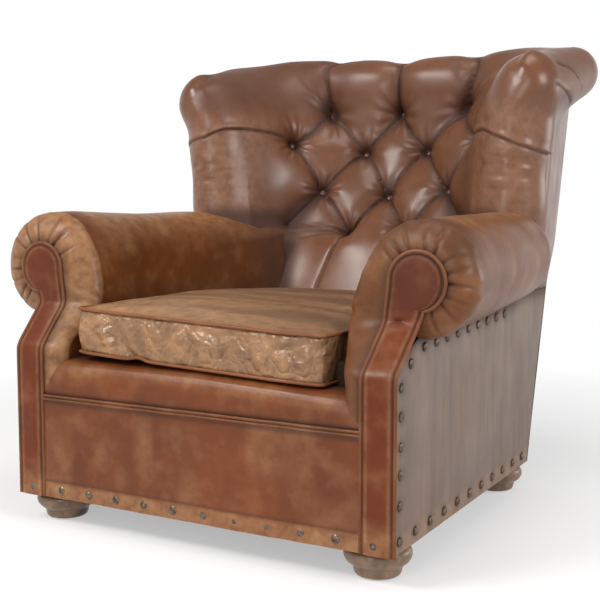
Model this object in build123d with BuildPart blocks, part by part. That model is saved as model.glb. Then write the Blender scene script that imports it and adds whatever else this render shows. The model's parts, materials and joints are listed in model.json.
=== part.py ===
from build123d import *
import os
from math import cos, radians, sin, sqrt

os.makedirs("parts", exist_ok=True)

# A tufted club chair, in millimetres. +Z is up and -Y is the front, so +X is on the right of
# someone who faces the chair. The origin is on the floor, under the middle of the chair.

# Overall sizes
chair_depth = 1058.0
body_half = 418.0
foot_height = 57.0
leather = 3.0
soft_gap = 0.3

# Timber frame
rail_thickness = 28.0
rail_clear = 3.0
panel_gap = 1.0
side_rail_height = 110.0
seat_rail_height = 190.0
rear_post_width = 45.0
rear_post_top = 930.0
arm_rail_z = 500.0
arm_rail_height = 24.0
wing_post_lead = 28.0
wing_post_depth = 35.0
wing_post_width = 35.0
wing_rail_z = 850.0
wing_rail_height = 28.0
top_rail_height = 43.0
lower_rail_z = 300.0
lower_rail_height = 60.0
corner_leg = 150.0
corner_height = 40.0

# Front posts and their facings
post_width = 63.0
post_kick_z = 364.0
post_neck_z = 445.0
post_setback = 77.0
facing_head_r = 53.0
neck_lean = 6.0
welt_width = 6.0
welt_proud = 4.0

# Arms
arm_width = 103.0
crease_draw = 100.0
taper_length = 355.0
arm_bottom_z = 263.0
arm_wall_top_z = 545.0
arm_rear_top_z = 590.0
arm_corner_w = 60.0
arm_corner_h = 45.0
arm_edge_r = 28.0
roll_r = 106.0
roll_r_rear = 95.0
roll_top_z = 624.0
roll_rise = 8.0
roll_wing_gap = 108.0
ring_depth = 45.0
roll_end_depth = 40.0
roll_end_r = 60.0
side_seam_z = 454.0

# Back and wings
back_overhang = 292.0
back_rake = 0.32
inside_gap = 32.0
inside_rake = 0.52
inside_break_z = 430.0
wing_r = 74.0
wing_setback = 27.0
wing_tuck = 28.0
wing_flare = 0.06
wing_rear_spread = 7.0
wing_bottom_z = 560.0
flare_start_z = 790.0
wing_top_z = 935.0
pad_low_z = 300.0
top_roll_r = 55.0
top_roll_z = 955.0
top_roll_front_z = 912.0
top_roll_nose = 28.0
top_roll_front_spread = 10.0
top_roll_spread = 22.0
top_roll_corner_r = 80.0
turn_share = 0.62
ease_share = 0.87
ease_swell = 4.0
outside_back_top_z = 930.0
outside_wing_top_z = 905.0
tuft_spread = 0.8127
tuft_pitch_share = 0.348
tuft_rows = (880.0, 792.0, 670.0, 574.0)
tuft_depths = (30.0, 40.0, 45.0, 36.0)
pleat_lift = 14.0
pleat_width = 52.0
pleat_height = 33.0
top_pleat_depth = 13.0
top_pleat_sweep = 110.0
dimple_taper = 25.0
button_r = 13.0
button_height = 6.0
button_taper = 35.0
webbing_width = 50.0
webbing_pitch = 120.0
webbing_thickness = 2.0

# Seat
border_top_z = 268.0
deck_top_z = 343.0
front_roll_depth = 75.0
front_roll_drop = 2.0
deck_side_gap = 2.0
cushion_setback = 13.0
cushion_back_gap = 15.0
cushion_edge = 88.0
cushion_crown = 24.0
cushion_side_gap = 6.0
cushion_draw = 5.0
cushion_corner_r = 24.0
cover_thickness = 2.5
piping_width = 4.0
piping_height = 7.0
zip_side_gap = 35.0
zip_height = 22.0
zip_thickness = 1.5
slider_size = 9.0
slider_depth = 3.5
spring_count = 5
spring_pitch = 116.0
spring_half = 22.0
spring_turn_r = 17.0
wire_r = 1.9
clip_width = 30.0
clip_depth = 16.0
clip_height = 12.0

# Feet and trim
foot_inset = 59.0
front_foot_setback = 68.0
rear_foot_setback = 57.0
foot_r = 62.0
foot_base_r = 43.0
foot_base_height = 22.0
foot_collar_r = 44.0
glide_r = 20.0
glide_height = 2.0
bolt_r = 5.0
bolt_clear = 0.2
bolt_seat_z = 30.0
nut_r = 12.0
nut_height = 8.0
dust_cover_thickness = 1.0
nail_r = 8.5
nail_height = 4.0
nail_pitch = 69.0
edge_nail_pitch = 52.0
roll_nail_pitch = 55.0
nail_hem = 19.0

# Places that follow from the sizes above
front_y = welt_width - chair_depth / 2
back_base_y = chair_depth / 2 - back_overhang
inside_y = back_base_y - inside_gap
crease_y = inside_y
taper_start_y = crease_y - taper_length
wing_y = inside_y - wing_setback
wing_post_y = wing_y - wing_post_lead
roll_rear_y = wing_y - roll_wing_gap
seat_half = body_half - arm_width
crease_half = seat_half - crease_draw
wing_low_x = body_half - wing_tuck
wing_rear_half = body_half + wing_rear_spread
top_roll_front_y = wing_y - top_roll_nose
top_roll_front_x = body_half + top_roll_front_spread
top_roll_corner_x = body_half + top_roll_spread
tuft_half = tuft_spread * seat_half
tuft_pitch = tuft_pitch_share * tuft_half
cushion_front_y = front_y + cushion_setback
cushion_rear_y = inside_y - cushion_back_gap
zip_half = crease_half - zip_side_gap
foot_x = body_half - foot_inset
front_foot_y = front_y + front_foot_setback
rear_foot_y = back_base_y - rear_foot_setback
rail_z = foot_height + rail_clear
seat_rail_top = rail_z + seat_rail_height
post_inner = body_half - post_width
panel_inner = body_half - leather
post_low_x = post_inner + leather
rear_post_x = panel_inner - rail_clear - rear_post_width
side_rail_x = panel_inner - rail_thickness
arm_rail_top = arm_rail_z + arm_rail_height
frame_inset = leather + panel_gap
rail_front_inset = frame_inset + rail_thickness
pad_rear_inset = rail_front_inset + 2 * webbing_thickness
wing_post_x = panel_inner - rail_clear - wing_post_width
top_rail_z = rear_post_top - top_rail_height
top_roll_y = chair_depth / 2 - top_roll_r
roll_front_y = front_y + post_setback + leather
spring_z = seat_rail_top + clip_height / 2
deck_bottom_z = spring_z + clip_height / 2 + soft_gap
cushion_z = deck_top_z + soft_gap
inside_top_y = top_roll_y - 0.75 * top_roll_r
diagonal = sqrt(0.5)
quarter_steps = (0.0, 30.0, 60.0, 90.0)


def back_y(z, inset=0.0):
    """Depth of the outside back at a height, moved forward by an inset."""
    return back_base_y + back_rake * (z - foot_height) - inset


def front_line(inset, low, high):
    """Side view of the front post's face, from its foot to its head."""
    lower = front_y + inset
    upper = lower + post_setback
    return [(lower, low), (lower, post_kick_z), (upper, post_neck_z), (upper, high)]


def front_at(z, inset):
    """Depth of the leaning stretch of the front post's face at a height."""
    share = (z - post_kick_z) / (post_neck_z - post_kick_z)
    return front_y + inset + post_setback * share


def raked_board(low, high, near, far):
    """Side view of a board that leans with the outside back."""
    return [
        (back_y(low, far), low),
        (back_y(low, near), low),
        (back_y(high, near), high),
        (back_y(high, far), high),
    ]


def side_prism(points, x_low, x_high):
    """Solid with a given side view, between two values of X."""
    with BuildPart() as prism:
        with BuildSketch(Plane.YZ.offset(x_low)):
            with BuildLine():
                Polyline(*points, close=True)
            make_face()
        extrude(amount=x_high - x_low)
    return prism


def plan_prism(points, z_low, z_high):
    """Solid with a given plan, between two heights."""
    with BuildPart() as prism:
        with BuildSketch(Plane.XY.offset(z_low)):
            with BuildLine():
                Polyline(*points, close=True)
            make_face()
        extrude(amount=z_high - z_low)
    return prism


def save(piece, name):
    """Label a finished piece and write it."""
    piece.part.label = name
    export_step(piece.part, f"parts/{name}.step")


def save_pair(piece, name):
    """Write a right-hand piece and its left-hand twin."""
    with BuildPart() as twin:
        mirror(piece.part, about=Plane.YZ)
    save(piece, f"{name}_right")
    save(twin, f"{name}_left")


# Timber frame
front_rail = side_prism(
    [
        (front_y + leather, rail_z),
        (front_y + leather + rail_thickness, rail_z),
        (front_y + leather + rail_thickness, seat_rail_top),
        (front_y + leather, seat_rail_top),
    ],
    -post_low_x,
    post_low_x,
)
save(front_rail, "front_rail")

rear_rail = side_prism(
    raked_board(rail_z, seat_rail_top, frame_inset, rail_front_inset), -rear_post_x, rear_post_x
)
save(rear_rail, "rear_rail")

back_lower_rail = side_prism(
    raked_board(lower_rail_z, lower_rail_z + lower_rail_height, frame_inset, rail_front_inset),
    -rear_post_x,
    rear_post_x,
)
save(back_lower_rail, "back_lower_rail")

back_top_rail = side_prism(
    raked_board(top_rail_z, rear_post_top, frame_inset, rail_front_inset), -rear_post_x, rear_post_x
)
save(back_top_rail, "back_top_rail")

rear_post = side_prism(
    raked_board(rail_z, rear_post_top, frame_inset, rail_front_inset),
    rear_post_x,
    rear_post_x + rear_post_width,
)
save_pair(rear_post, "rear_post")

front_post = side_prism(
    front_line(leather, rail_z, arm_rail_z)
    + front_line(leather + rail_thickness, rail_z, arm_rail_z)[::-1],
    post_low_x,
    panel_inner,
)
save_pair(front_post, "front_post")

side_rail_top = rail_z + side_rail_height
side_rail = side_prism(
    [
        (front_y + leather + rail_thickness, rail_z),
        (back_y(rail_z, rail_front_inset), rail_z),
        (back_y(side_rail_top, rail_front_inset), side_rail_top),
        (front_y + leather + rail_thickness, side_rail_top),
    ],
    side_rail_x,
    panel_inner,
)
save_pair(side_rail, "side_rail")

arm_rail = side_prism(
    [
        (roll_front_y, arm_rail_z),
        (back_y(arm_rail_z, rail_front_inset), arm_rail_z),
        (back_y(arm_rail_top, rail_front_inset), arm_rail_top),
        (roll_front_y, arm_rail_top),
    ],
    rear_post_x,
    rear_post_x + rear_post_width,
)
save_pair(arm_rail, "arm_rail")

wing_post = side_prism(
    [
        (wing_post_y, arm_rail_top),
        (wing_post_y + wing_post_depth, arm_rail_top),
        (wing_post_y + wing_post_depth, wing_rail_z + wing_rail_height),
        (wing_post_y, wing_rail_z + wing_rail_height),
    ],
    wing_post_x,
    wing_post_x + wing_post_width,
)
save_pair(wing_post, "wing_post")

wing_rail = side_prism(
    [
        (wing_post_y + wing_post_depth, wing_rail_z),
        (back_y(wing_rail_z, rail_front_inset), wing_rail_z),
        (back_y(wing_rail_z + wing_rail_height, rail_front_inset), wing_rail_z + wing_rail_height),
        (wing_post_y + wing_post_depth, wing_rail_z + wing_rail_height),
    ],
    wing_post_x,
    wing_post_x + wing_post_width,
)
save_pair(wing_rail, "wing_rail")


# Feet with their hanger bolts, nuts and glides, and the corner blocks that hold them
foot_places = {
    "front_left": (-foot_x, front_foot_y),
    "front_right": (foot_x, front_foot_y),
    "rear_left": (-foot_x, rear_foot_y),
    "rear_right": (foot_x, rear_foot_y),
}
corner_top = rail_z + corner_height

for place, (x, y) in foot_places.items():
    with BuildPart() as foot:
        with BuildSketch(Plane(origin=(x, y, 0), x_dir=(1, 0, 0), z_dir=(0, -1, 0))):
            with BuildLine():
                base_top_r = foot_base_r + (foot_r - foot_base_r) / 4
                Polyline(
                    (foot_collar_r, rail_z),
                    (0, rail_z),
                    (0, glide_height),
                    (foot_base_r, glide_height),
                    (base_top_r, foot_base_height),
                )
                ThreePointArc(
                    (base_top_r, foot_base_height),
                    (foot_r, (foot_base_height + rail_z) / 2),
                    (foot_collar_r, rail_z),
                )
            make_face()
        revolve(axis=Axis((x, y, 0), (0, 0, 1)))
        with BuildSketch(Plane.XY.offset(rail_z)):
            with Locations((x, y)):
                Circle(bolt_r + bolt_clear)
        extrude(amount=bolt_seat_z - rail_z, mode=Mode.SUBTRACT)
    save(foot, f"foot_{place}")

with BuildPart() as corner_blocks:
    with BuildSketch(Plane.XY.offset(rail_z)):
        with BuildLine():
            corner = (side_rail_x, front_y + leather + rail_thickness)
            front_leg = (corner[0] - corner_leg, corner[1])
            Polyline(corner, front_leg, (corner[0], corner[1] + corner_leg), close=True)
        make_face()
        with BuildLine():
            corner = (side_rail_x, back_y(rail_z, rail_front_inset))
            rear_leg = (corner[0] - corner_leg, corner[1])
            Polyline(corner, rear_leg, (corner[0], corner[1] - corner_leg), close=True)
        make_face()
        mirror(about=Plane.YZ)
        with Locations(*foot_places.values()):
            Circle(bolt_r + bolt_clear, mode=Mode.SUBTRACT)
    extrude(amount=corner_height)
save(corner_blocks, "corner_blocks")

with BuildPart() as foot_bolts:
    with BuildSketch(Plane.XY.offset(bolt_seat_z)):
        with Locations(*foot_places.values()):
            Circle(bolt_r)
    extrude(amount=corner_top + nut_height - bolt_seat_z)
save(foot_bolts, "foot_bolts")

with BuildPart() as foot_nuts:
    with BuildSketch(Plane.XY.offset(corner_top)):
        with Locations(*foot_places.values()):
            RegularPolygon(nut_r, 6)
            Circle(bolt_r + bolt_clear, mode=Mode.SUBTRACT)
    extrude(amount=nut_height)
save(foot_nuts, "foot_nuts")

with BuildPart() as foot_glides:
    with BuildSketch():
        with Locations(*foot_places.values()):
            Circle(glide_r)
    extrude(amount=glide_height)
save(foot_glides, "foot_glides")

with BuildPart() as dust_cover:
    with BuildSketch(Plane.XY.offset(rail_z - dust_cover_thickness)):
        with BuildLine():
            cover_half = body_half - frame_inset
            cover_rear_y = back_y(foot_height, frame_inset)
            Polyline(
                (-cover_half, front_y + frame_inset),
                (cover_half, front_y + frame_inset),
                (cover_half, cover_rear_y),
                (-cover_half, cover_rear_y),
                close=True,
            )
        make_face()
        with Locations(*foot_places.values()):
            Circle(foot_collar_r + 2 * rail_clear, mode=Mode.SUBTRACT)
    extrude(amount=dust_cover_thickness)
save(dust_cover, "dust_cover")


# Seat springs with their clips, deck and front roll
spring_front_y = front_y + leather + rail_thickness / 2
spring_rear_y = back_y(seat_rail_top, (frame_inset + rail_front_inset) / 2)
spring_runs = 2 * int((spring_rear_y - spring_front_y) / (4 * spring_turn_r)) + 1
spring_step = (spring_rear_y - spring_front_y) / (spring_runs - 1)
spring_lines = [(row - (spring_count - 1) / 2) * spring_pitch for row in range(spring_count)]

with BuildPart() as seat_springs:
    for x in spring_lines:
        with BuildLine() as spring_path:
            for run in range(spring_runs):
                side = 1 if run % 2 == 0 else -1
                y = spring_front_y + run * spring_step
                Line((x - side * spring_half, y, spring_z), (x + side * spring_half, y, spring_z))
                if run < spring_runs - 1:
                    ThreePointArc(
                        (x + side * spring_half, y, spring_z),
                        (x + side * (spring_half + spring_step / 2), y + spring_step / 2, spring_z),
                        (x + side * spring_half, y + spring_step, spring_z),
                    )
        wire_start = (x - spring_half, spring_front_y, spring_z)
        with BuildSketch(Plane(origin=wire_start, z_dir=(1, 0, 0))):
            Circle(wire_r)
        sweep(path=spring_path.wires()[0])
save(seat_springs, "seat_springs")

with BuildPart() as spring_clips:
    for y in (spring_front_y, spring_rear_y):
        for x in spring_lines:
            with BuildSketch(Plane.YZ.offset(x - clip_width / 2)):
                with Locations((y, spring_z)):
                    Rectangle(clip_depth, clip_height)
                    Circle(wire_r + soft_gap, mode=Mode.SUBTRACT)
    extrude(amount=clip_width)
save(spring_clips, "spring_clips")


def seat_half_at(y):
    """Half the width between the arms at a depth: parallel in front, closing in to the back."""
    share = max(0.0, (y - taper_start_y) / (crease_y - taper_start_y))
    return seat_half - (seat_half - crease_half) * share**2


def seat_outline(inset, front, rear):
    """Plan of what lies between the arms, a little smaller than the room there."""
    steps = [taper_start_y + (rear - taper_start_y) * step / 4 for step in range(5)]
    right = [(seat_half - inset, front)] + [(seat_half_at(y) - inset, y) for y in steps]
    return right + [(-x, y) for x, y in reversed(right)]


front_roll_rear_y = front_y + leather + front_roll_depth
seat_deck = plan_prism(
    seat_outline(deck_side_gap, front_roll_rear_y + soft_gap, inside_y - soft_gap),
    deck_bottom_z,
    deck_top_z,
)
save(seat_deck, "seat_deck")

with BuildPart() as seat_front_roll:
    with BuildSketch(Plane.YZ.offset(-seat_half + soft_gap)):
        with BuildLine():
            roll_face_y = front_y + leather
            roll_top = deck_top_z - front_roll_drop
            roll_nose = (roll_face_y + front_roll_depth / 4, roll_top - front_roll_depth / 10)
            Line((roll_face_y, deck_bottom_z), (roll_face_y, border_top_z))
            ThreePointArc(
                (roll_face_y, border_top_z),
                (roll_face_y + front_roll_depth / 30, (border_top_z + roll_top) / 2),
                roll_nose,
            )
            ThreePointArc(
                roll_nose,
                (roll_face_y + front_roll_depth / 2, roll_top - front_roll_depth / 40),
                (front_roll_rear_y, roll_top),
            )
            Line((front_roll_rear_y, roll_top), (front_roll_rear_y, deck_bottom_z))
            Line((front_roll_rear_y, deck_bottom_z), (roll_face_y, deck_bottom_z))
        make_face()
    extrude(amount=2 * (seat_half - soft_gap))
save(seat_front_roll, "seat_front_roll")

border_half = post_inner - welt_width
front_border = side_prism(
    [
        (front_y, foot_height),
        (front_y + leather, foot_height),
        (front_y + leather, border_top_z),
        (front_y, border_top_z),
    ],
    -border_half,
    border_half,
)
save(front_border, "front_border")

with BuildPart() as front_border_welt:
    with BuildSketch(Plane.YZ.offset(-border_half)):
        for level in (border_top_z - 1.5 * welt_width, border_top_z - 0.5 * welt_width):
            with Locations((front_y - welt_width / 2, level)):
                Circle(welt_width / 2)
    extrude(amount=2 * border_half)
save(front_border_welt, "front_border_welt")


# Loose seat cushion: a crowned cover with drawn-in sides, its core, piping and zip
cushion_levels = (
    (0.0, cushion_side_gap + 2 * cushion_draw),
    (cushion_draw, cushion_side_gap),
    (cushion_edge / 2, cushion_side_gap + cushion_draw),
    (cushion_edge - cushion_draw, cushion_side_gap),
    (cushion_edge + cushion_crown / 5, cushion_side_gap + 3 * cushion_draw),
    (cushion_edge + cushion_crown * 0.7, cushion_side_gap + 12 * cushion_draw),
    (cushion_edge + cushion_crown, cushion_side_gap + 26 * cushion_draw),
)


def cushion_section(z, inset):
    """Plan of the cushion at one level, with rounded corners."""
    with BuildSketch(Plane.XY.offset(z)) as section:
        with BuildLine():
            Polyline(*seat_outline(inset, cushion_front_y + inset, cushion_rear_y - inset), close=True)
        make_face()
        fillet(section.vertices().group_by(Axis.Y)[0], cushion_corner_r)
        fillet(section.vertices().group_by(Axis.Y)[-1], cushion_corner_r)
    return section.sketch


def cushion_form(shrink):
    """The cushion's closed form, smaller all round by a thickness."""
    low = cushion_z + shrink
    squeeze = (cushion_edge + cushion_crown - 2 * shrink) / (cushion_edge + cushion_crown)
    sections = [cushion_section(low + level * squeeze, inset + shrink) for level, inset in cushion_levels]
    with BuildPart() as form:
        loft(sections, ruled=True)
    return form


cushion_outside = cushion_form(0.0)
cushion_inside = cushion_form(cover_thickness)
seat_cushion_core = cushion_form(cover_thickness + soft_gap)
save(seat_cushion_core, "seat_cushion_core")

with BuildPart() as seat_cushion_cover:
    add(cushion_outside.part)
    add(cushion_inside.part, mode=Mode.SUBTRACT)
save(seat_cushion_cover, "seat_cushion_cover")

piping_levels = {"bottom": cushion_levels[1][0], "top": cushion_levels[3][0]}
for place, level in piping_levels.items():
    with BuildPart() as piping:
        for reach in (piping_width, 0.0):
            ring = cushion_section(cushion_z + level - piping_height / 2, cushion_side_gap - reach)
            extrude(ring, amount=piping_height, mode=Mode.ADD if reach else Mode.SUBTRACT)
    save(piping, f"cushion_piping_{place}")

zip_z = cushion_z + cushion_levels[2][0]
zip_y = cushion_rear_y - cushion_levels[2][1] + cushion_draw * zip_height / cushion_edge + soft_gap
with BuildPart() as cushion_zip:
    with BuildSketch(Plane.XZ.offset(-zip_y)):
        with Locations((0, zip_z)):
            Rectangle(2 * zip_half, zip_height)
    extrude(amount=-zip_thickness)
save(cushion_zip, "cushion_zip")

with BuildPart() as zip_slider:
    with BuildSketch(Plane.XZ.offset(-zip_y - zip_thickness - soft_gap)):
        with Locations((slider_size - zip_half, zip_z)):
            SlotOverall(2 * slider_size, slider_size)
    extrude(amount=-slider_depth)
save(zip_slider, "zip_slider")


# Arms
def roll_place(y):
    """Centre and radius of the arm roll at a depth. Its inner side keeps to the seat's edge."""
    share = (y - roll_front_y) / (roll_rear_y - roll_front_y)
    radius = roll_r + (roll_r_rear - roll_r) * share
    top = roll_top_z + roll_rise * share
    return seat_half + radius, top - radius, radius


def roll_section(y, swell, core_r, inset):
    """Round section of the roll, between its core and its full size."""
    x, z, radius = roll_place(y)
    with BuildSketch(Plane.XZ.offset(-y)) as section:
        with Locations((x, z)):
            Circle(core_r + (radius - core_r) * swell - inset)
    return section.sketch


def arm_wall_section(y, edge, inset):
    """Section of the inside arm: upright, with a soft shoulder."""
    share = max(0.0, (y - taper_start_y) / (crease_y - taper_start_y))
    top = arm_wall_top_z + (arm_rear_top_z - arm_wall_top_z) * share - inset
    low_x = seat_half_at(y) + edge + inset
    shoulder_z = top - arm_corner_h
    with BuildSketch(Plane.XZ.offset(-y)) as section:
        with BuildLine():
            Polyline(
                (low_x + arm_corner_w, top),
                (panel_inner, top),
                (panel_inner, arm_bottom_z),
                (low_x, arm_bottom_z),
                (low_x, shoulder_z),
            )
            ThreePointArc(
                (low_x, shoulder_z),
                (low_x + arm_corner_w * (1 - diagonal), shoulder_z + arm_corner_h * diagonal),
                (low_x + arm_corner_w, top),
            )
        make_face()
    return section.sketch


def arm_form(inset):
    """The right arm's upholstered form: an inside wall and the roll that it carries."""
    wall = []
    for angle in quarter_steps:
        y = front_y + leather + arm_edge_r * (1 - cos(radians(angle)))
        wall.append(arm_wall_section(y, arm_edge_r * (1 - sin(radians(angle))), inset))
    for step in range(5):
        y = taper_start_y + (crease_y - taper_start_y) * step / 4
        wall.append(arm_wall_section(y, 0.0, inset))
    roll = []
    for angle in quarter_steps:
        y = roll_front_y + ring_depth * (1 - cos(radians(angle)))
        roll.append(roll_section(y, sin(radians(angle)), facing_head_r + welt_width, inset))
    for angle in quarter_steps:
        y = roll_rear_y + roll_end_depth * sin(radians(angle))
        roll.append(roll_section(y, cos(radians(angle)), roll_end_r, inset))
    with BuildPart() as form:
        loft(wall, ruled=True)
        with BuildSketch(Plane.YZ.offset(seat_half - body_half)):
            with BuildLine():
                ahead = front_y - chair_depth
                above = 2 * roll_top_z
                face = front_line(leather, 0.0, above)
                Polyline((ahead, 0.0), *face, (ahead, above), close=True)
            make_face()
        extrude(amount=2 * body_half, mode=Mode.SUBTRACT)
        loft(roll, ruled=True)
    return form


arm_outside = arm_form(0.0)
arm_inside = arm_form(leather)

with BuildPart() as arm_cover:
    add(arm_outside.part)
    add(arm_inside.part, mode=Mode.SUBTRACT)
    add([front_post.part, arm_rail.part, wing_post.part], mode=Mode.SUBTRACT)
save_pair(arm_cover, "arm_cover")

with BuildPart() as arm_padding:
    add(arm_inside.part)
    add([front_post.part, arm_rail.part, wing_post.part], mode=Mode.SUBTRACT)
save_pair(arm_padding, "arm_padding")


def facing_outline(grow):
    """Front view of the arm facing: a straight post with a round head set to the outside."""
    head_x, head_z = roll_place(roll_front_y)[:2]
    lean = neck_lean
    inner_x = head_x - facing_head_r
    outer_neck_x = body_half + lean
    notch_z = head_z - sqrt(facing_head_r**2 - (outer_neck_x + lean - head_x) ** 2)
    with BuildSketch(Plane.XZ.offset(-front_y + welt_width)) as outline:
        with BuildLine():
            Polyline(
                (outer_neck_x + lean, notch_z),
                (outer_neck_x, post_neck_z),
                (body_half, post_kick_z),
                (body_half, foot_height),
                (post_inner, foot_height),
                (post_inner, post_kick_z),
                (post_inner + lean, post_neck_z),
                (inner_x, head_z),
            )
            ThreePointArc(
                (inner_x, head_z),
                (head_x - facing_head_r * diagonal, head_z + facing_head_r * diagonal),
                (head_x, head_z + facing_head_r),
            )
            ThreePointArc(
                (head_x, head_z + facing_head_r),
                (head_x + facing_head_r, head_z),
                (outer_neck_x + lean, notch_z),
            )
        make_face()
        if grow:
            offset(amount=grow, kind=Kind.ARC)
    return outline.sketch


def bent_slab(near, far):
    """The sheet that follows the post's leaning face, wide enough for the whole facing."""
    top = roll_top_z
    points = front_line(near, 0.0, top) + front_line(far, 0.0, top)[::-1]
    return side_prism(points, 0.0, 2 * body_half)


facing_depth = post_setback + 2 * welt_width + leather
with BuildPart() as arm_facing:
    extrude(facing_outline(0.0), amount=-facing_depth)
    add(bent_slab(0.0, leather).part, mode=Mode.INTERSECT)
save_pair(arm_facing, "arm_facing")

with BuildPart() as facing_welt:
    extrude(facing_outline(welt_width), amount=-facing_depth)
    extrude(facing_outline(0.0), amount=-facing_depth, mode=Mode.SUBTRACT)
    add(bent_slab(-welt_proud, leather).part, mode=Mode.INTERSECT)
    with Locations((body_half, front_y, 0)):
        Box(chair_depth, chair_depth, 2 * foot_height, mode=Mode.SUBTRACT)
save_pair(facing_welt, "facing_welt")

roll_under_front_z = roll_top_z - 2 * roll_r - leather
roll_under_rear_z = roll_top_z + roll_rise - 2 * roll_r_rear - leather
roll_end_y = roll_rear_y + roll_end_depth
outside_arm = side_prism(
    [
        (front_y + leather, foot_height),
        (front_y + leather, post_kick_z),
        (front_at(roll_under_front_z, leather), roll_under_front_z),
        (roll_rear_y, roll_under_rear_z),
        (roll_end_y + leather, side_seam_z),
        (back_y(side_seam_z, leather), side_seam_z),
        (back_y(foot_height, leather), foot_height),
    ],
    panel_inner,
    body_half,
)
save_pair(outside_arm, "outside_arm")


# Back and wings
def inside_back_y(z):
    """Depth of the inside back at its middle: upright behind the cushion, then leaning back."""
    lean = inside_y + inside_rake * (min(z, flare_start_z) - inside_break_z)
    share = max(0.0, (z - flare_start_z) / (wing_top_z - flare_start_z))
    return max(inside_y, lean) + (inside_top_y - lean) * share


def wing_x(z):
    """Middle of the wing's rounded front edge at a height. The wings flare towards the top."""
    return wing_low_x + wing_flare * (z - wing_bottom_z)


def arc_y(x, half, end_y, middle_y):
    """Depth at X of the arc that runs through two even ends and a middle."""
    sag = middle_y - end_y
    bend = (half**2 + sag**2) / (2 * sag)
    return middle_y - bend + sqrt(bend**2 - x**2)


def hollow_y(x, z):
    """Depth of the hollow inside back at a place, where its plan is one round sweep."""
    return arc_y(x, wing_x(z) - wing_r, wing_y, inside_back_y(z))


top_corner = (top_roll_corner_x - 1.7 * top_roll_r, top_roll_y - 1.2 * top_roll_r)


def tuft_surface_y(x, z):
    """Depth of the inside back at a place, before tufting. It opens out under the top roll."""
    share = max(0.0, (z - flare_start_z) / (wing_top_z - flare_start_z))
    low = hollow_y(x, min(z, flare_start_z))
    return low + (arc_y(x, *top_corner, inside_top_y) - low) * share


def back_section(z):
    """Plan of the back and both wings at a height."""
    x = wing_x(z)
    r = wing_r
    rear = back_y(z, pad_rear_inset)
    slant = r * diagonal
    if z > flare_start_z:
        turn = top_corner
        ease = (top_corner[0] + r / 4, (top_corner[1] + wing_y) / 2)
    else:
        turn = (turn_share * (x - r), hollow_y(turn_share * (x - r), z))
        ease = (ease_share * (x - r) + ease_swell, hollow_y(ease_share * (x - r), z))
    with BuildSketch(Plane.XY.offset(z)) as section:
        with BuildLine():
            ThreePointArc((r - x, wing_y), (-ease[0], ease[1]), (-turn[0], turn[1]))
            ThreePointArc((-turn[0], turn[1]), (0, inside_back_y(z)), turn)
            ThreePointArc(turn, ease, (x - r, wing_y))
            ThreePointArc((x - r, wing_y), (x - slant, wing_y - slant), (x, wing_y - r))
            ThreePointArc((x, wing_y - r), (x + slant, wing_y - slant), (x + r, wing_y))
            Polyline(
                (x + r, wing_y), (wing_rear_half, rear), (-wing_rear_half, rear), (-x - r, wing_y)
            )
            ThreePointArc((-x - r, wing_y), (-x - slant, wing_y - slant), (-x, wing_y - r))
            ThreePointArc((-x, wing_y - r), (slant - x, wing_y - slant), (r - x, wing_y))
        make_face()
    return section.sketch


wing_levels = (wing_bottom_z, (wing_bottom_z + flare_start_z) / 2, flare_start_z, wing_top_z)
roll_start = (top_roll_front_x, top_roll_front_y, top_roll_front_z)
roll_corner = (top_roll_corner_x, top_roll_y, top_roll_z)

with BuildPart() as back_form:
    loft([back_section(z) for z in wing_levels], ruled=True)
    with BuildLine() as roll_path:
        FilletPolyline(
            roll_start,
            roll_corner,
            (-roll_corner[0], *roll_corner[1:]),
            (-roll_start[0], *roll_start[1:]),
            radius=top_roll_corner_r,
        )
    with BuildSketch(Plane(origin=roll_start, z_dir=Vector(*roll_corner) - Vector(*roll_start))):
        Circle(top_roll_r)
    sweep(path=roll_path.wires()[0])
    with Locations(roll_start, (-roll_start[0], *roll_start[1:])):
        Sphere(top_roll_r)


def tuft_place(x, row):
    """Seat of a tuft button and the way that it faces."""
    z = tuft_rows[row]
    facing = Vector(-x / seat_half, -1.0, inside_rake).normalized()
    return Vector(x, tuft_surface_y(x, z), z) - facing * tuft_depths[row], facing


def pleat(start, end, facing):
    """Sew a pleat between two places: a channel whose shoulders round up to the pillows."""
    low = start + facing * pleat_lift
    run = end - start
    across = facing.cross(run).normalized()
    w = pleat_width
    h = pleat_height
    bend = (w**2 + h**2) / (2 * h)
    shoulder = h - bend + sqrt(bend**2 - w**2 / 4)
    with BuildSketch(Plane(origin=low, x_dir=across, z_dir=run)) as channel:
        with BuildLine():
            ThreePointArc((0, 0), (w / 2, shoulder), (w, h))
            Polyline((w, h), (w, 4 * h), (-w, 4 * h), (-w, h))
            ThreePointArc((-w, h), (-w / 2, shoulder), (0, 0))
        make_face()
    extrude(channel.sketch, amount=run.length, mode=Mode.SUBTRACT)


def dimple(place, facing):
    """Draw the leather in round one button."""
    with BuildSketch(Plane(origin=place, z_dir=facing)) as seat:
        Circle(button_r + soft_gap)
    extrude(seat.sketch, amount=2 * max(tuft_depths), taper=-dimple_taper, mode=Mode.SUBTRACT)


def right_and_left(x):
    """A column on each side, or one on the middle line."""
    return (x, -x) if x else (x,)


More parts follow.
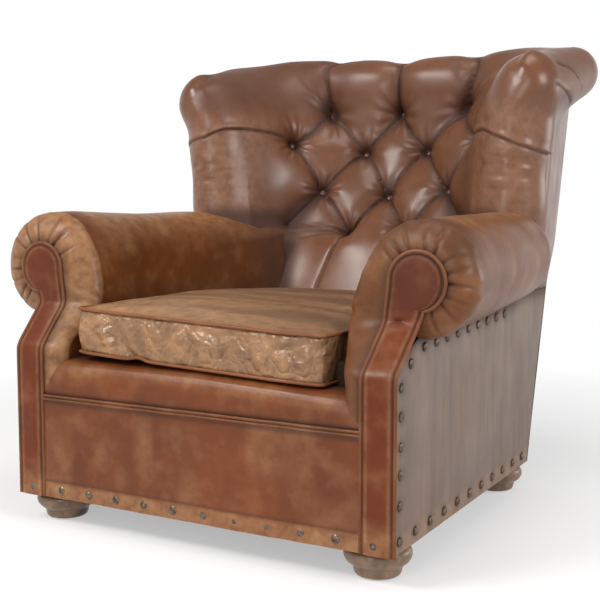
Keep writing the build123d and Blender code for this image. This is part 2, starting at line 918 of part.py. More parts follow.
tuft_columns = (
    (0.0, 2 * tuft_pitch),
    (tuft_pitch, tuft_half),
    (0.0, 2 * tuft_pitch),
    (tuft_pitch,),
)
tufts = [
    tuft_place(x, row)
    for row, columns in enumerate(tuft_columns)
    for column in columns
    for x in right_and_left(column)
]
pleat_ends = []
for side in (1, -1):
    for row in range(3):
        middle = tuft_place(0.0 if row % 2 == 0 else side * tuft_pitch, row)
        outer = tuft_place(side * (2 * tuft_pitch if row % 2 == 0 else tuft_half), row)
        near = tuft_place(side * tuft_pitch if row % 2 == 0 else 0.0, row + 1)
        far_x = 2 * tuft_pitch if row == 1 else tuft_half
        far = tuft_place(side * far_x, row + 1)
        between = near if row % 2 == 0 else tuft_place(side * 2 * tuft_pitch, row + 1)
        pleat_ends.append((middle, near))
        pleat_ends.append((middle if row % 2 else outer, between))
        pleat_ends.append((outer, far))
    low_tuft = tuft_place(side * tuft_pitch, 3)
    low_edge = tuft_place(side * tuft_half, 3)
    seat_edge = Vector(side * tuft_pitch, inside_y, deck_top_z) - low_tuft[1] * pleat_lift
    pleat_ends.append((low_tuft, low_edge))
    pleat_ends.append((low_tuft, (seat_edge, low_tuft[1])))
pleat_ends.append((tuft_place(-tuft_pitch, 3), tuft_place(tuft_pitch, 3)))

with BuildPart() as back_webbing:
    web_low = lower_rail_z + rail_clear
    web_high = rear_post_top - rail_clear
    web_side = raked_board(web_low, web_high, rail_front_inset, rail_front_inset + webbing_thickness)
    for strip in range(-2, 3):
        with BuildSketch(Plane.YZ.offset(strip * webbing_pitch - webbing_width / 2)):
            with BuildLine():
                Polyline(*web_side, close=True)
            make_face()
    extrude(amount=webbing_width)
save(back_webbing, "back_webbing")

with BuildPart() as arm_outside_left:
    mirror(arm_outside.part, about=Plane.YZ)

with BuildPart() as tufted_back:
    add(back_form.part)
    split(bisect_by=Plane.YZ.offset(tuft_half), keep=Keep.BOTTOM)
    split(bisect_by=Plane.YZ.offset(-tuft_half), keep=Keep.TOP)
    low_half = crease_half - panel_gap
    for z in (pad_low_z, inside_break_z, wing_bottom_z):
        with BuildSketch(Plane.XY.offset(z)):
            with BuildLine():
                Polyline(
                    (-low_half, inside_back_y(z)),
                    (low_half, inside_back_y(z)),
                    (low_half, back_y(z, pad_rear_inset)),
                    (-low_half, back_y(z, pad_rear_inset)),
                    close=True,
                )
            make_face()
    loft(ruled=True)
    for start, end in pleat_ends:
        pleat(start[0], end[0], (start[1] + end[1]).normalized())
    for place, facing in tufts:
        dimple(place, facing)
    for x in (-2 * tuft_pitch, 0.0, 2 * tuft_pitch):
        with BuildSketch(Plane(origin=(x, top_roll_y, top_roll_z), x_dir=(1, 0, 0), z_dir=(0, 0, 1))):
            with BuildLine():
                Polyline(
                    (0, top_pleat_depth - top_roll_r),
                    (2 * top_pleat_depth, -1.5 * top_roll_r),
                    (-2 * top_pleat_depth, -1.5 * top_roll_r),
                    close=True,
                )
            make_face()
        revolve(
            axis=Axis((x, top_roll_y, top_roll_z), (-1, 0, 0)),
            revolution_arc=top_pleat_sweep,
            mode=Mode.SUBTRACT,
        )
    add([arm_outside.part, arm_outside_left.part], mode=Mode.SUBTRACT)
    add([back_top_rail.part, back_webbing.part], mode=Mode.SUBTRACT)
save(tufted_back, "tufted_back")

with BuildPart() as inside_wing:
    add(back_form.part)
    split(bisect_by=Plane.YZ.offset(tuft_half), keep=Keep.TOP)
    for place, facing in tufts:
        if abs(place.X - tuft_half) < 2 * max(tuft_depths):
            dimple(place, facing)
    add([arm_outside.part, wing_post.part, wing_rail.part], mode=Mode.SUBTRACT)
    add([rear_post.part, back_top_rail.part, arm_rail.part, back_webbing.part], mode=Mode.SUBTRACT)
save_pair(inside_wing, "inside_wing")

with BuildPart() as back_buttons:
    for place, facing in tufts:
        with BuildSketch(Plane(origin=place, z_dir=facing)):
            Circle(button_r)
        extrude(amount=button_height, taper=button_taper)
save(back_buttons, "back_buttons")

with BuildPart() as outside_back:
    with BuildSketch(Plane.YZ.offset(-body_half)):
        with BuildLine():
            Polyline(*raked_board(foot_height, outside_back_top_z, 0.0, leather), close=True)
        make_face()
    extrude(amount=2 * body_half)
    add(back_form.part, mode=Mode.SUBTRACT)
save(outside_back, "outside_back")

with BuildPart() as outside_wing:
    wing_panel_levels = (side_seam_z, *wing_levels[:-1], outside_wing_top_z)
    for z in wing_panel_levels:
        low = z <= side_seam_z
        front_x = panel_inner if low else wing_x(z) + wing_r + soft_gap
        rear_x = panel_inner if low else wing_rear_half + soft_gap
        panel_front_y = roll_end_y + leather if low else wing_y
        with BuildSketch(Plane.XY.offset(z)):
            with BuildLine():
                Polyline(
                    (front_x, panel_front_y),
                    (front_x + leather, panel_front_y),
                    (rear_x + leather, back_y(z, leather)),
                    (rear_x, back_y(z, leather)),
                    close=True,
                )
            make_face()
    loft(ruled=True)
    add([arm_outside.part, back_form.part], mode=Mode.SUBTRACT)
save_pair(outside_wing, "outside_wing")


# Domed nails
def nail_row(start, end, pitch):
    """Evenly spaced places from one end of a row to the other."""
    first = Vector(*start)
    run = Vector(*end) - first
    count = max(1, round(run.length / pitch))
    return [first + run * (step / count) for step in range(count + 1)]


def nail_heads(places, facing):
    """Domed heads that stand on a surface."""
    sphere_r = (nail_r**2 + nail_height**2) / (2 * nail_height)
    cap = Axis.Z.direction.get_angle(Vector(nail_r, 0, sphere_r - nail_height))
    with Locations(*[Plane(origin=place, z_dir=facing) for place in places]):
        Sphere(sphere_r, arc_size1=90 - cap, align=(Align.CENTER, Align.CENTER, Align.MIN))


nail_z = foot_height + nail_hem
last_front_nail = (border_half // nail_pitch - 0.5) * nail_pitch
post_nail_x = (post_inner + body_half) / 2
with BuildPart() as front_nails:
    front_row = nail_row((-last_front_nail, front_y, nail_z), (last_front_nail, front_y, nail_z), nail_pitch)
    post_ends = [Vector(-post_nail_x, front_y, nail_z), Vector(post_nail_x, front_y, nail_z)]
    nail_heads(front_row + post_ends, (0, -1, 0))
save(front_nails, "front_nails")

edge_nail_y = front_y + leather + nail_hem + welt_width
roll_nail_front_y = roll_front_y + ring_depth
with BuildPart() as side_nails:
    hem_row = nail_row(
        (body_half, edge_nail_y, nail_z), (body_half, back_y(nail_z, nail_hem + leather), nail_z), nail_pitch
    )
    edge_low = (body_half, edge_nail_y, nail_z + edge_nail_pitch)
    edge_high = (body_half, edge_nail_y, post_kick_z - nail_hem)
    roll_row = nail_row(
        (body_half, roll_nail_front_y, roll_under_front_z - 2 * nail_r),
        (body_half, roll_rear_y, roll_under_rear_z - 2 * nail_r),
        roll_nail_pitch,
    )
    nail_heads(hem_row + nail_row(edge_low, edge_high, edge_nail_pitch) + roll_row, (1, 0, 0))
save_pair(side_nails, "side_nails")

with BuildPart() as back_nails:
    back_facing = Vector(0, 1, -back_rake).normalized()
    nail_x = body_half - nail_hem
    back_low_z = nail_z
    back_high_z = outside_back_top_z - 2 * nail_pitch
    back_row = nail_row(
        (-nail_x, back_y(back_low_z), back_low_z), (nail_x, back_y(back_low_z), back_low_z), nail_pitch
    )
    for side in (1, -1):
        back_row += nail_row(
            (side * nail_x, back_y(back_low_z + nail_pitch), back_low_z + nail_pitch),
            (side * nail_x, back_y(back_high_z), back_high_z),
            nail_pitch,
        )
    nail_heads(back_row, back_facing)
save(back_nails, "back_nails")
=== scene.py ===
import json
from math import cos, pi, radians, sin

import bmesh
import bpy
import numpy as np
from bpy.props import FloatProperty, FloatVectorProperty, IntProperty, PointerProperty
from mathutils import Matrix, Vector


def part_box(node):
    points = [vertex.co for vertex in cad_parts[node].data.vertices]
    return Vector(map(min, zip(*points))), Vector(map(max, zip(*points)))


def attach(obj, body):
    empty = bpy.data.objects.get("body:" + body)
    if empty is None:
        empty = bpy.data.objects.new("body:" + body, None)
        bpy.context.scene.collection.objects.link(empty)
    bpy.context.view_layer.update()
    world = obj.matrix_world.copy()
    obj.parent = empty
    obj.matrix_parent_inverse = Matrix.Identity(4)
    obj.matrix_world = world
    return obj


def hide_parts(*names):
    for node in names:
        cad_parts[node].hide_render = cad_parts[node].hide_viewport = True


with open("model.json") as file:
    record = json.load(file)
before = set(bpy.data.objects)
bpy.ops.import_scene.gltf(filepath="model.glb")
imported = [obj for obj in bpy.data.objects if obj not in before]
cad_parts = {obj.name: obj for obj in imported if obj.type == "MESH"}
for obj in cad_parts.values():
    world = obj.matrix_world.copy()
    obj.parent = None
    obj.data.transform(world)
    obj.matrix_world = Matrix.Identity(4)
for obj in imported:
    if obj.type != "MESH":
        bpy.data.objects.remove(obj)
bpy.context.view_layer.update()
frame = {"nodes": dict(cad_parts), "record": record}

bl_info = {
    "name": "Tufted club chair",
    "version": (1, 0, 0),
    "blender": (4, 5, 0),
    "location": "View3D > Sidebar > Chair",
    "description": "Dresses a club chair in tufted, rolled and nailed leather",
    "category": "Object",
}

# Places on the frame, in metres
BODY_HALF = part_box("outside_arm_right")[1].x
FRONT_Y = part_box("front_border")[0].y
HEM_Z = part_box("front_border")[0].z
BORDER_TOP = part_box("front_border")[1].z
DECK_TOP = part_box("seat_deck")[1].z
BACK_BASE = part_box("dust_cover")[1].y + 0.004
BACK_RAKE = 0.32
KICK_Z, NECK_Z, NECK_OUT_Z, SETBACK = 0.364, 0.445, 0.4715, 0.077
HEAD_X, HEAD_Z, HEAD_R = 0.424, 0.518, 0.0495
FACING_EDGE = [0.360, 0.360, 0.367, 0.375]
SEAT_HALF = 0.315
CREASE_HALF = 0.215
TAPER_Y, CREASE_Y = -0.150, 0.205
WING_Y, WING_R = 0.191, 0.089
ROLL_R, TIP_R = 0.058, 0.077
WALL_LOW, WING_PANEL_LOW = 0.262, 0.4545
BACK_FLARE, FLARE_RISE = 0.0085, 0.12
LEATHER = 0.0022
NAIL_PITCH, FRONT_NAIL_Z, SIDE_NAIL_Z, BACK_NAIL_Z, BACK_NAIL_X = 0.069, 0.0745, 0.078, 0.076, 0.399

# Buttons of the back as (x, z), from the top row to the lowest
BUTTONS = {
    "a1": (-0.178, 0.897), "a2": (0.0, 0.884), "a3": (0.178, 0.897),
    "b1": (-0.234, 0.816), "b2": (-0.078, 0.802), "b3": (0.078, 0.802), "b4": (0.234, 0.816),
    "c1": (-0.158, 0.698), "c2": (0.0, 0.686), "c3": (0.158, 0.698),
    "d1": (-0.075, 0.589), "d2": (0.075, 0.589),
}
DIAMONDS = (
    "a1b1", "a1b2", "a2b2", "a2b3", "a3b3", "a3b4",
    "b1c1", "b2c1", "b2c2", "b3c2", "b3c3", "b4c3",
    "c1d1", "c2d1", "c2d2", "c3d2",
)


# Mesh helpers
def smooth_step(value):
    """Ease from 0 to 1."""
    value = np.clip(value, 0.0, 1.0)
    return value * value * (3 - 2 * value)


def rise(value, start, width):
    """Ease from 0 to 1 over a width that begins at a start."""
    return smooth_step((value - start) / width)


def fall(value, end, width):
    """Ease from 1 to 0 over a width that ends at an end."""
    return smooth_step((end - value) / width)


def bell(value, width):
    """One where a value is nothing, fading away on both sides of it."""
    return np.exp(-(value / width) ** 2)


def soft_noise(a, b, size_a, size_b, seed):
    """Smooth bumps between -1 and 1 over two surface coordinates."""
    lattice = np.random.RandomState(seed).uniform(-1, 1, (64, 64))
    a = np.asarray(a) / size_a + 640.0
    b = np.asarray(b) / size_b + 640.0
    i, j = np.floor(a).astype(int), np.floor(b).astype(int)
    s, t = smooth_step(a - i), smooth_step(b - j)
    low = lattice[i % 64, j % 64] * (1 - s) + lattice[(i + 1) % 64, j % 64] * s
    high = lattice[i % 64, (j + 1) % 64] * (1 - s) + lattice[(i + 1) % 64, (j + 1) % 64] * s
    return low * (1 - t) + high * t


def grid_faces(rows, cols, start=0):
    """Faces of a grid of points that are listed row by row."""
    i, j = np.meshgrid(np.arange(rows - 1), np.arange(cols - 1), indexing="ij")
    a = (i * cols + j + start).ravel()
    return np.stack([a, a + 1, a + cols + 1, a + cols], -1).tolist()


def rim(rows, cols):
    """Points round the edge of a grid, in order."""
    top = [(0, j) for j in range(cols)]
    right = [(i, cols - 1) for i in range(1, rows)]
    low = [(rows - 1, j) for j in range(cols - 2, -1, -1)]
    left = [(i, 0) for i in range(rows - 2, 0, -1)]
    return [i * cols + j for i, j in top + right + low + left]


def normals_of(points):
    """Unit normals of a grid of points."""
    normal = np.cross(np.gradient(points, axis=1), np.gradient(points, axis=0))
    length = np.linalg.norm(normal, axis=-1, keepdims=True)
    return normal / np.maximum(length, 1e-12)


def new_mesh(name, points, faces, marks):
    """Closed mesh from points and faces, with its marks kept as attributes."""
    mesh = bpy.data.meshes.new(name)
    mesh.from_pydata(np.asarray(points, float).reshape(-1, 3).tolist(), [], faces)
    for mark, values in marks.items():
        layer = mesh.attributes.new(mark, "FLOAT", "POINT")
        layer.data.foreach_set("value", np.asarray(values, np.float32).ravel())
    shape = bmesh.new()
    shape.from_mesh(mesh)
    bmesh.ops.remove_doubles(shape, verts=shape.verts, dist=2e-5)
    bmesh.ops.dissolve_degenerate(shape, edges=shape.edges, dist=1e-5)
    bmesh.ops.recalc_face_normals(shape, faces=shape.faces)
    shape.to_mesh(mesh)
    shape.free()
    mesh.shade_smooth()
    mesh.set_sharp_from_angle(angle=radians(62))
    return mesh


def place_piece(name, mesh, finish, body="chair", replaces=()):
    """Put a finished mesh in the scene on its body, in the finish of that name."""
    piece = bpy.data.objects.new(name, mesh)
    bpy.context.scene.collection.objects.link(piece)
    mesh.materials.clear()
    mesh.materials.append(finish_of(finish))
    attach(piece, body)
    if replaces:
        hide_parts(*replaces)
    return piece


def slab_mesh(name, front, thickness, marks=None):
    """Sheet of leather with a back and closed edges, from the grid of its front."""
    rows, cols = front.shape[:2]
    back = front - normals_of(front) * thickness
    count = rows * cols
    faces = grid_faces(rows, cols) + [face[::-1] for face in grid_faces(rows, cols, count)]
    edge = rim(rows, cols)
    faces += [[a, b, b + count, a + count] for a, b in zip(edge, edge[1:] + edge[:1])]
    points = np.concatenate([front.reshape(-1, 3), back.reshape(-1, 3)])
    marks = {mark: np.tile(np.ravel(values), 2) for mark, values in (marks or {}).items()}
    return new_mesh(name, points, faces, marks)


def side_slab(name, front, thickness, marks, side):
    """Sheet of leather for one side of the chair, from the grid of its front on the right."""
    if side == "left":
        front, thickness = mirrored(front), -thickness
    return slab_mesh(name, front, thickness, marks)


def pad_mesh(name, front, hub, marks):
    """Pad that is closed behind by a fan from the edge of its front to a hub inside it."""
    rows, cols = front.shape[:2]
    edge = rim(rows, cols)
    faces = grid_faces(rows, cols) + [[a, b, rows * cols] for a, b in zip(edge[1:] + edge[:1], edge)]
    points = np.concatenate([front.reshape(-1, 3), [hub]])
    return new_mesh(name, points, faces, {mark: np.append(values, 0.0) for mark, values in marks.items()})


def mirrored(points):
    """The same points on the other side of the chair."""
    return points * np.array([-1.0, 1.0, 1.0])


# Lines of the chair
def back_plane(z):
    """Depth of the outside back at a height."""
    return BACK_BASE + BACK_RAKE * (np.asarray(z) - HEM_Z)


def facing_y(z):
    """Depth of the arm facings at a height, with eased bends."""
    line = [FRONT_Y, FRONT_Y, FRONT_Y + SETBACK, FRONT_Y + SETBACK]
    steps = [np.interp(np.asarray(z) + shift, [0.0, KICK_Z, NECK_Z, 1.0], line)
             for shift in (-0.008, -0.004, 0.0, 0.004, 0.008)]
    return np.mean(steps, axis=0)


def wall_x(y):
    """Inside face of the right arm at a depth."""
    share = np.clip((np.asarray(y) - TAPER_Y) / (CREASE_Y - TAPER_Y), 0.0, 1.0)
    return SEAT_HALF - (SEAT_HALF - CREASE_HALF) * share**2


def seat_tilt(x, y):
    """How much the slack cushion sits higher on its left and lower on its right."""
    front = fall(np.asarray(y), 0.15, 0.6)
    return -0.041 * np.asarray(x) * (0.25 + 0.75 * front)


# Finishes
def wire(tree, socket, value):
    """Link a socket to another one, or set it to a plain value."""
    if isinstance(value, bpy.types.NodeSocket):
        tree.links.new(value, socket)
    else:
        socket.default_value = value


def add_node(tree, kind, **values):
    """New shader or geometry node with its options and inputs set or linked."""
    node = tree.nodes.new(kind)
    for key, value in values.items():
        if key in node.inputs:
            wire(tree, node.inputs[key], value)
        else:
            setattr(node, key, value)
    return node


def in_turn(tree, node, *values):
    """Set or link a node's first inputs in their order, and give the node's output."""
    for socket, value in zip(node.inputs, values):
        wire(tree, socket, value)
    return node.outputs[0]


def reckon(tree, operation, *terms):
    """Result of a sum on sockets and numbers."""
    return in_turn(tree, add_node(tree, "ShaderNodeMath", operation=operation), *terms)


def new_finish(name):
    """New material. Gives its tree, its shader and the object coordinates in it."""
    finish = bpy.data.materials.new(name)
    finish.use_nodes = True
    tree = finish.node_tree
    tree.nodes.clear()
    shader = tree.nodes.new("ShaderNodeBsdfPrincipled")
    add_node(tree, "ShaderNodeOutputMaterial", Surface=shader.outputs[0])
    return tree, shader, tree.nodes.new("ShaderNodeTexCoord").outputs["Object"]


def dress_shader(tree, shader, tone, rough, relief=None):
    """Link a shader to its colour, roughness and relief."""
    for label, value in (("Base Color", tone), ("Roughness", rough), ("Normal", relief)):
        if value is not None:
            tree.links.new(value, shader.inputs[label])


def blend_colour(tree, factor, low, high):
    """Mix of two colours or sockets by a factor socket."""
    mix = add_node(tree, "ShaderNodeMix", data_type="RGBA")
    tree.links.new(factor, mix.inputs[0])
    for socket, value in ((mix.inputs[6], low), (mix.inputs[7], high)):
        wire(tree, socket, value if isinstance(value, bpy.types.NodeSocket) else (*value, 1.0))
    return mix.outputs[2]


def remap(tree, value, low, high, to_low, to_high):
    """Socket that carries a value from one range to another."""
    return in_turn(tree, add_node(tree, "ShaderNodeMapRange", clamp=True), value, low, high, to_low, to_high)


def mark_of(tree, name):
    """Socket of a mark that the mesh carries."""
    return add_node(tree, "ShaderNodeAttribute", attribute_name=name).outputs["Fac"]


def relief_of(tree, height, strength, distance, **under):
    """Relief from a height socket, over the relief that is given as Normal."""
    node = add_node(tree, "ShaderNodeBump", Height=height, Strength=strength, Distance=distance, **under)
    return node.outputs[0]


def noise(tree, coords, scale, detail=3.0, stretch=(1, 1, 1), rough=0.55):
    """Noise over object coordinates, stretched along an axis where wanted."""
    mapping = add_node(tree, "ShaderNodeMapping", Vector=coords, Scale=stretch)
    texture = add_node(tree, "ShaderNodeTexNoise", Vector=mapping.outputs[0], Scale=scale, Detail=detail,
                       Roughness=rough)
    return texture.outputs["Fac"]


def shade(colour, factor):
    """A colour made darker or lighter."""
    return tuple(min(1.0, channel * factor) for channel in colour)


def crinkles(tree, coords, scale):
    """Distance from the creases of crumpled leather, as a socket."""
    warp = add_node(tree, "ShaderNodeTexNoise", Vector=coords, Scale=scale * 0.7, Detail=2.0)
    bent = in_turn(tree, add_node(tree, "ShaderNodeVectorMath", operation="MULTIPLY_ADD"),
                   warp.outputs["Color"], (1.4 / scale,) * 3, coords)
    cells = add_node(tree, "ShaderNodeTexVoronoi", Vector=bent, Scale=scale, feature="DISTANCE_TO_EDGE")
    return cells.outputs["Distance"]


def leather_finish(name, colour, crease_shade, worn_and_lit, gloss, streak=(1, 1, 1), patchy=1.0, crackle=0.25, shine=0.5,
                   grain=0.05, crumpled=False):
    """Pull-up leather, aged by use: patchy dye, painted shade in its folds, ridges lighter from rubbing and
    from painted light, and a fine pebbled grain.
    """
    tree, shader, coords = new_finish(name)
    clouds = noise(tree, coords, 5.5, 5.0, streak, 0.62)
    spots = noise(tree, coords, 17.0, stretch=streak)
    scuffs = noise(tree, coords, 42.0, 4.0, rough=0.62)
    tone = blend_colour(tree, remap(tree, clouds, 0.34, 0.68, 0.0, patchy),
                        shade(colour, 0.78), shade(colour, 1.18))
    tone = blend_colour(tree, remap(tree, spots, 0.5, 0.80, 0.0, 0.28 * patchy), tone, worn_and_lit)
    tone = blend_colour(tree, remap(tree, spots, 0.47, 0.22, 0.0, 0.5 * patchy), tone, shade(colour, 0.55))
    # Lighter where the mesh's mark of rubbing is: real rubbing in places, and painted light on the wings, the
    # left arm and the cushion's boxing.
    rubbed_and_lit = reckon(tree, "MULTIPLY", mark_of(tree, "wear_and_light"), remap(tree, scuffs, 0.32, 0.62, 0.25, 1.0))
    tone = blend_colour(tree, rubbed_and_lit, tone, worn_and_lit)
    dull = remap(tree, noise(tree, coords, 13.0, 1.0), 0.1, 0.9, gloss - 0.08, gloss + 0.12)
    pebble = add_node(tree, "ShaderNodeTexVoronoi", Vector=coords, Scale=340.0, feature="F1")
    relief = relief_of(tree, remap(tree, pebble.outputs["Distance"], 0.1, 0.8, 1.0, 0.0), grain, 0.0005)
    relief = relief_of(tree, noise(tree, coords, 70.0, 2.0, rough=0.5), crackle, 0.0016, Normal=relief)
    if crumpled:
        crinkled = mark_of(tree, "crinkle")
        for scale, height in ((19.0, 0.0060), (44.0, 0.0020)):
            creases = crinkles(tree, coords, scale)
            # Pale lines along the crinkles: partly the leather lightened where it creases, partly a painted
            # highlight.
            pale = reckon(tree, "MULTIPLY", crinkled, remap(tree, creases, 0.0, 0.10, 0.22, 0.0))
            tone = blend_colour(tree, pale, tone, worn_and_lit)
            lift = reckon(tree, "MULTIPLY", crinkled, remap(tree, creases, 0.0, 0.36, 0.0, 1.0))
            relief = relief_of(tree, lift, 0.90, height, Normal=relief)
        dull = reckon(tree, "MULTIPLY_ADD", crinkled, -0.20, dull)
    # Painted shade: darker where the fold mark is, in folds, pits, valleys and where parts meet or overhang.
    folded = mark_of(tree, "fold")
    tone = blend_colour(tree, folded, tone, crease_shade)
    dress_shader(tree, shader, tone, reckon(tree, "MULTIPLY_ADD", folded, 0.35, dull), relief)
    shader.inputs["Specular IOR Level"].default_value = shine


def wood_finish(name, colour, gloss, grain_axis):
    """Timber with growth lines along one axis."""
    tree, shader, coords = new_finish(name)
    lines = noise(tree, coords, 40.0, 6.0, grain_axis, 0.65)
    tone = blend_colour(tree, remap(tree, lines, 0.35, 0.65, 0.0, 1.0), shade(colour, 0.6), shade(colour, 1.35))
    dress_shader(tree, shader, tone, remap(tree, lines, 0.3, 0.7, gloss, gloss + 0.15),
                 relief_of(tree, lines, 0.15, 0.0006))


def metal_finish(name, colour, dark, gloss, scale):
    """Aged metal with darker patina in patches."""
    tree, shader, coords = new_finish(name)
    patina = noise(tree, coords, scale, 4.0)
    tone = blend_colour(tree, remap(tree, patina, 0.38, 0.62, 0.0, 1.0), dark, colour)
    dress_shader(tree, shader, tone, remap(tree, patina, 0.3, 0.7, gloss + 0.2, gloss))
    shader.inputs["Metallic"].default_value = 1.0


def woven_finish(name, colour, thread, gloss):
    """Plain cloth with crossing threads."""
    tree, shader, coords = new_finish(name)
    weave = add_node(tree, "ShaderNodeTexChecker", Vector=coords, Scale=thread).outputs["Fac"]
    fuzz = noise(tree, coords, thread * 0.6)
    tone = blend_colour(tree, weave, shade(colour, 0.75), shade(colour, 1.2))
    tone = blend_colour(tree, remap(tree, fuzz, 0.35, 0.7, 0.0, 0.5), tone, shade(colour, 0.8))
    dress_shader(tree, shader, tone, remap(tree, fuzz, 0.2, 0.8, gloss, gloss + 0.1),
                 relief_of(tree, weave, 0.4, 0.0004))


def plastic_finish(name, colour):
    """Moulded plastic with a faint texture."""
    tree, shader, coords = new_finish(name)
    speck = noise(tree, coords, 300.0, 2.0)
    tone = blend_colour(tree, speck, shade(colour, 0.85), shade(colour, 1.1))
    dress_shader(tree, shader, tone, remap(tree, speck, 0.2, 0.8, 0.45, 0.6))


def finish_of(name):
    """A finish that an earlier step made."""
    return bpy.data.materials[name]


# Geometry node trees
def new_tree(name, **inputs):
    """Geometry node tree with named inputs of the kinds given. Gives the tree and its inputs' sockets."""
    tree = bpy.data.node_groups.new(name, "GeometryNodeTree")
    for label, kind in {"Geometry": "Geometry", **inputs}.items():
        tree.interface.new_socket(label, in_out="INPUT", socket_type="NodeSocket" + kind)
    tree.interface.new_socket("Geometry", in_out="OUTPUT", socket_type="NodeSocketGeometry")
    return tree, tree.nodes.new("NodeGroupInput").outputs


def end_tree(tree, geometry, given):
    """Realize the instances, smooth them, give them their material and end the tree there."""
    real = add_node(tree, "GeometryNodeRealizeInstances", Geometry=geometry)
    soft = add_node(tree, "GeometryNodeSetShadeSmooth", Geometry=real.outputs[0])
    paint = add_node(tree, "GeometryNodeSetMaterial", Geometry=soft.outputs[0], Material=given["Material"])
    add_node(tree, "NodeGroupOutput", Geometry=paint.outputs[0])
    return tree


def domes_tree():
    """Domed heads on points, each turned to its point's facing, with slight differences in size."""
    tree, given = new_tree("domed_heads", Radius="Float", Height="Float", Spread="Float", Seed="Int",
                           Material="Material")
    ball = add_node(tree, "GeometryNodeMeshUVSphere", Segments=16, Rings=9, Radius=1.0)
    size = add_node(tree, "ShaderNodeCombineXYZ", X=given["Radius"], Y=given["Radius"], Z=given["Height"])
    dome = add_node(tree, "GeometryNodeTransform", Geometry=ball.outputs["Mesh"], Scale=size.outputs[0])
    facing = add_node(tree, "GeometryNodeInputNamedAttribute", data_type="FLOAT_VECTOR", Name="facing")
    turn = add_node(tree, "FunctionNodeAlignRotationToVector", axis="Z", Vector=facing.outputs["Attribute"])
    vary = add_node(tree, "FunctionNodeRandomValue", data_type="FLOAT", Seed=given["Seed"])
    for limit, operation in ((vary.inputs[2], "SUBTRACT"), (vary.inputs[3], "ADD")):
        wire(tree, limit, reckon(tree, operation, 1.0, given["Spread"]))
    heads = add_node(tree, "GeometryNodeInstanceOnPoints", Points=given["Geometry"], Instance=dome.outputs[0],
                     Rotation=turn.outputs[0], Scale=vary.outputs[1])
    return end_tree(tree, heads.outputs[0], given)


def welt_tree():
    """Round cord along the edges of a line."""
    tree, given = new_tree("welt_cord", Radius="Float", Step="Float", Material="Material")
    line = add_node(tree, "GeometryNodeMeshToCurve", Mesh=given["Geometry"])
    even = add_node(tree, "GeometryNodeResampleCurve", mode="LENGTH", Curve=line.outputs[0],
                    Length=given["Step"])
    ring = add_node(tree, "GeometryNodeCurvePrimitiveCircle", Resolution=10, Radius=given["Radius"])
    cord = tree.nodes.new("GeometryNodeCurveToMesh")
    for label, value in (("Curve", even.outputs[0]), ("Profile Curve", ring.outputs[0]), ("Fill Caps", True)):
        wire(tree, cord.inputs[label], value)
    return end_tree(tree, cord.outputs[0], given)


def teeth_tree():
    """Zip teeth: small blocks on the points of a line."""
    tree, given = new_tree("zip_teeth", Size="Vector", Material="Material")
    block = add_node(tree, "GeometryNodeMeshCube", Size=given["Size"])
    teeth = add_node(tree, "GeometryNodeInstanceOnPoints", Points=given["Geometry"],
                     Instance=block.outputs["Mesh"])
    return end_tree(tree, teeth.outputs[0], given)


def grown_mesh(name, carrier, tree, values):
    """Run a geometry node tree on a carrier mesh and keep the plain mesh that it makes."""
    holder = bpy.data.objects.new(name + "_carrier", carrier)
    bpy.context.scene.collection.objects.link(holder)
    modifier = holder.modifiers.new("grow", "NODES")
    modifier.node_group = tree
    for item in tree.interface.items_tree:
        if item.item_type == "SOCKET" and item.in_out == "INPUT" and item.name in values:
            modifier[item.identifier] = values[item.name]
    bpy.context.view_layer.update()
    grown = holder.evaluated_get(bpy.context.evaluated_depsgraph_get())
    mesh = bpy.data.meshes.new_from_object(grown)
    mesh.name = name
    bpy.data.objects.remove(holder)
    return mesh


def point_carrier(name, places, facings):
    """Loose points that know which way they face."""
    mesh = bpy.data.meshes.new(name)
    mesh.from_pydata([tuple(place) for place in places], [], [])
    layer = mesh.attributes.new("facing", "FLOAT_VECTOR", "POINT")
    layer.data.foreach_set("vector", np.asarray(facings, np.float32).ravel())
    return mesh


def line_carrier(name, lines, closed):
    """Edges along one or more lines of points."""
    mesh = bpy.data.meshes.new(name)
    points, edges = [], []
    for line in lines:
        first = len(points)
        points += [tuple(point) for point in line]
        edges += [(first + k, first + k + 1) for k in range(len(line) - 1)]
        if closed:
            edges.append((len(points) - 1, first))
    mesh.from_pydata(points, edges, [])
    return mesh


def place_cord(name, lines, radius, step, finish, node, body="chair", closed=False):
    """Welt cord along lines, in place of its CAD node."""
    tree = bpy.data.node_groups.get("welt_cord") or welt_tree()
    mesh = grown_mesh(name, line_carrier(name, lines, closed), tree, {
        "Radius": radius, "Step": step, "Material": finish_of(finish)})
    place_piece(name, mesh, finish, body, (node,))


def place_heads(name, places, facings, radius, height, spread, seed, finish, node):
    """Domed heads at places, in place of their CAD node."""
    tree = bpy.data.node_groups.get("domed_heads") or domes_tree()
    mesh = grown_mesh(name, point_carrier(name, places, facings), tree, {
        "Radius": radius, "Height": height, "Spread": spread, "Seed": seed, "Material": finish_of(finish)})
    place_piece(name, mesh, finish, replaces=(node,))


# Back and wings
HOLLOW_COLS, NOSE_COLS = 104, 29
LEAN_ROWS, FLARE_ROWS, CREST_ROWS = 150, 38, 24
BACK_LOW, WING_LOW, FLARE_Z = 0.345, 0.590, 0.830
UNDER_TURN, FRONT_TURN = -1.15, -0.05
CORNER_X, CORNER_Y, CORNER_R, ROLL_Z = 0.366, 0.384, 0.09, 0.968
TIP_X, TIP_Y, TIP_Z = 0.417, 0.173, 0.908
CORNER_SHARE, SIDE_SHARE = 0.45, 0.65
CELL, HELD_COLS, WRAP_COL, REAR_FADE_COL, REAR_FADE_COLS = 0.0037, 26, 90, 70, 30.0
SETTLE_ROUNDS, OVERSHOOT = 340, 1.93
TURN_COLS, TURN_ROUNDS, FORM_ROUNDS, SHRINK, REGROW = 22, 420, 140, 0.55, -0.5545


def wing_middle(z):
    """Middle of the right wing's thickness at a height."""
    return 0.375 + 0.06 * (z - 0.56)


def level_points(x, y, z):
    """Points at the heights z from their places in plan."""
    return np.stack([x, y, np.broadcast_to(z, x.shape)], -1)


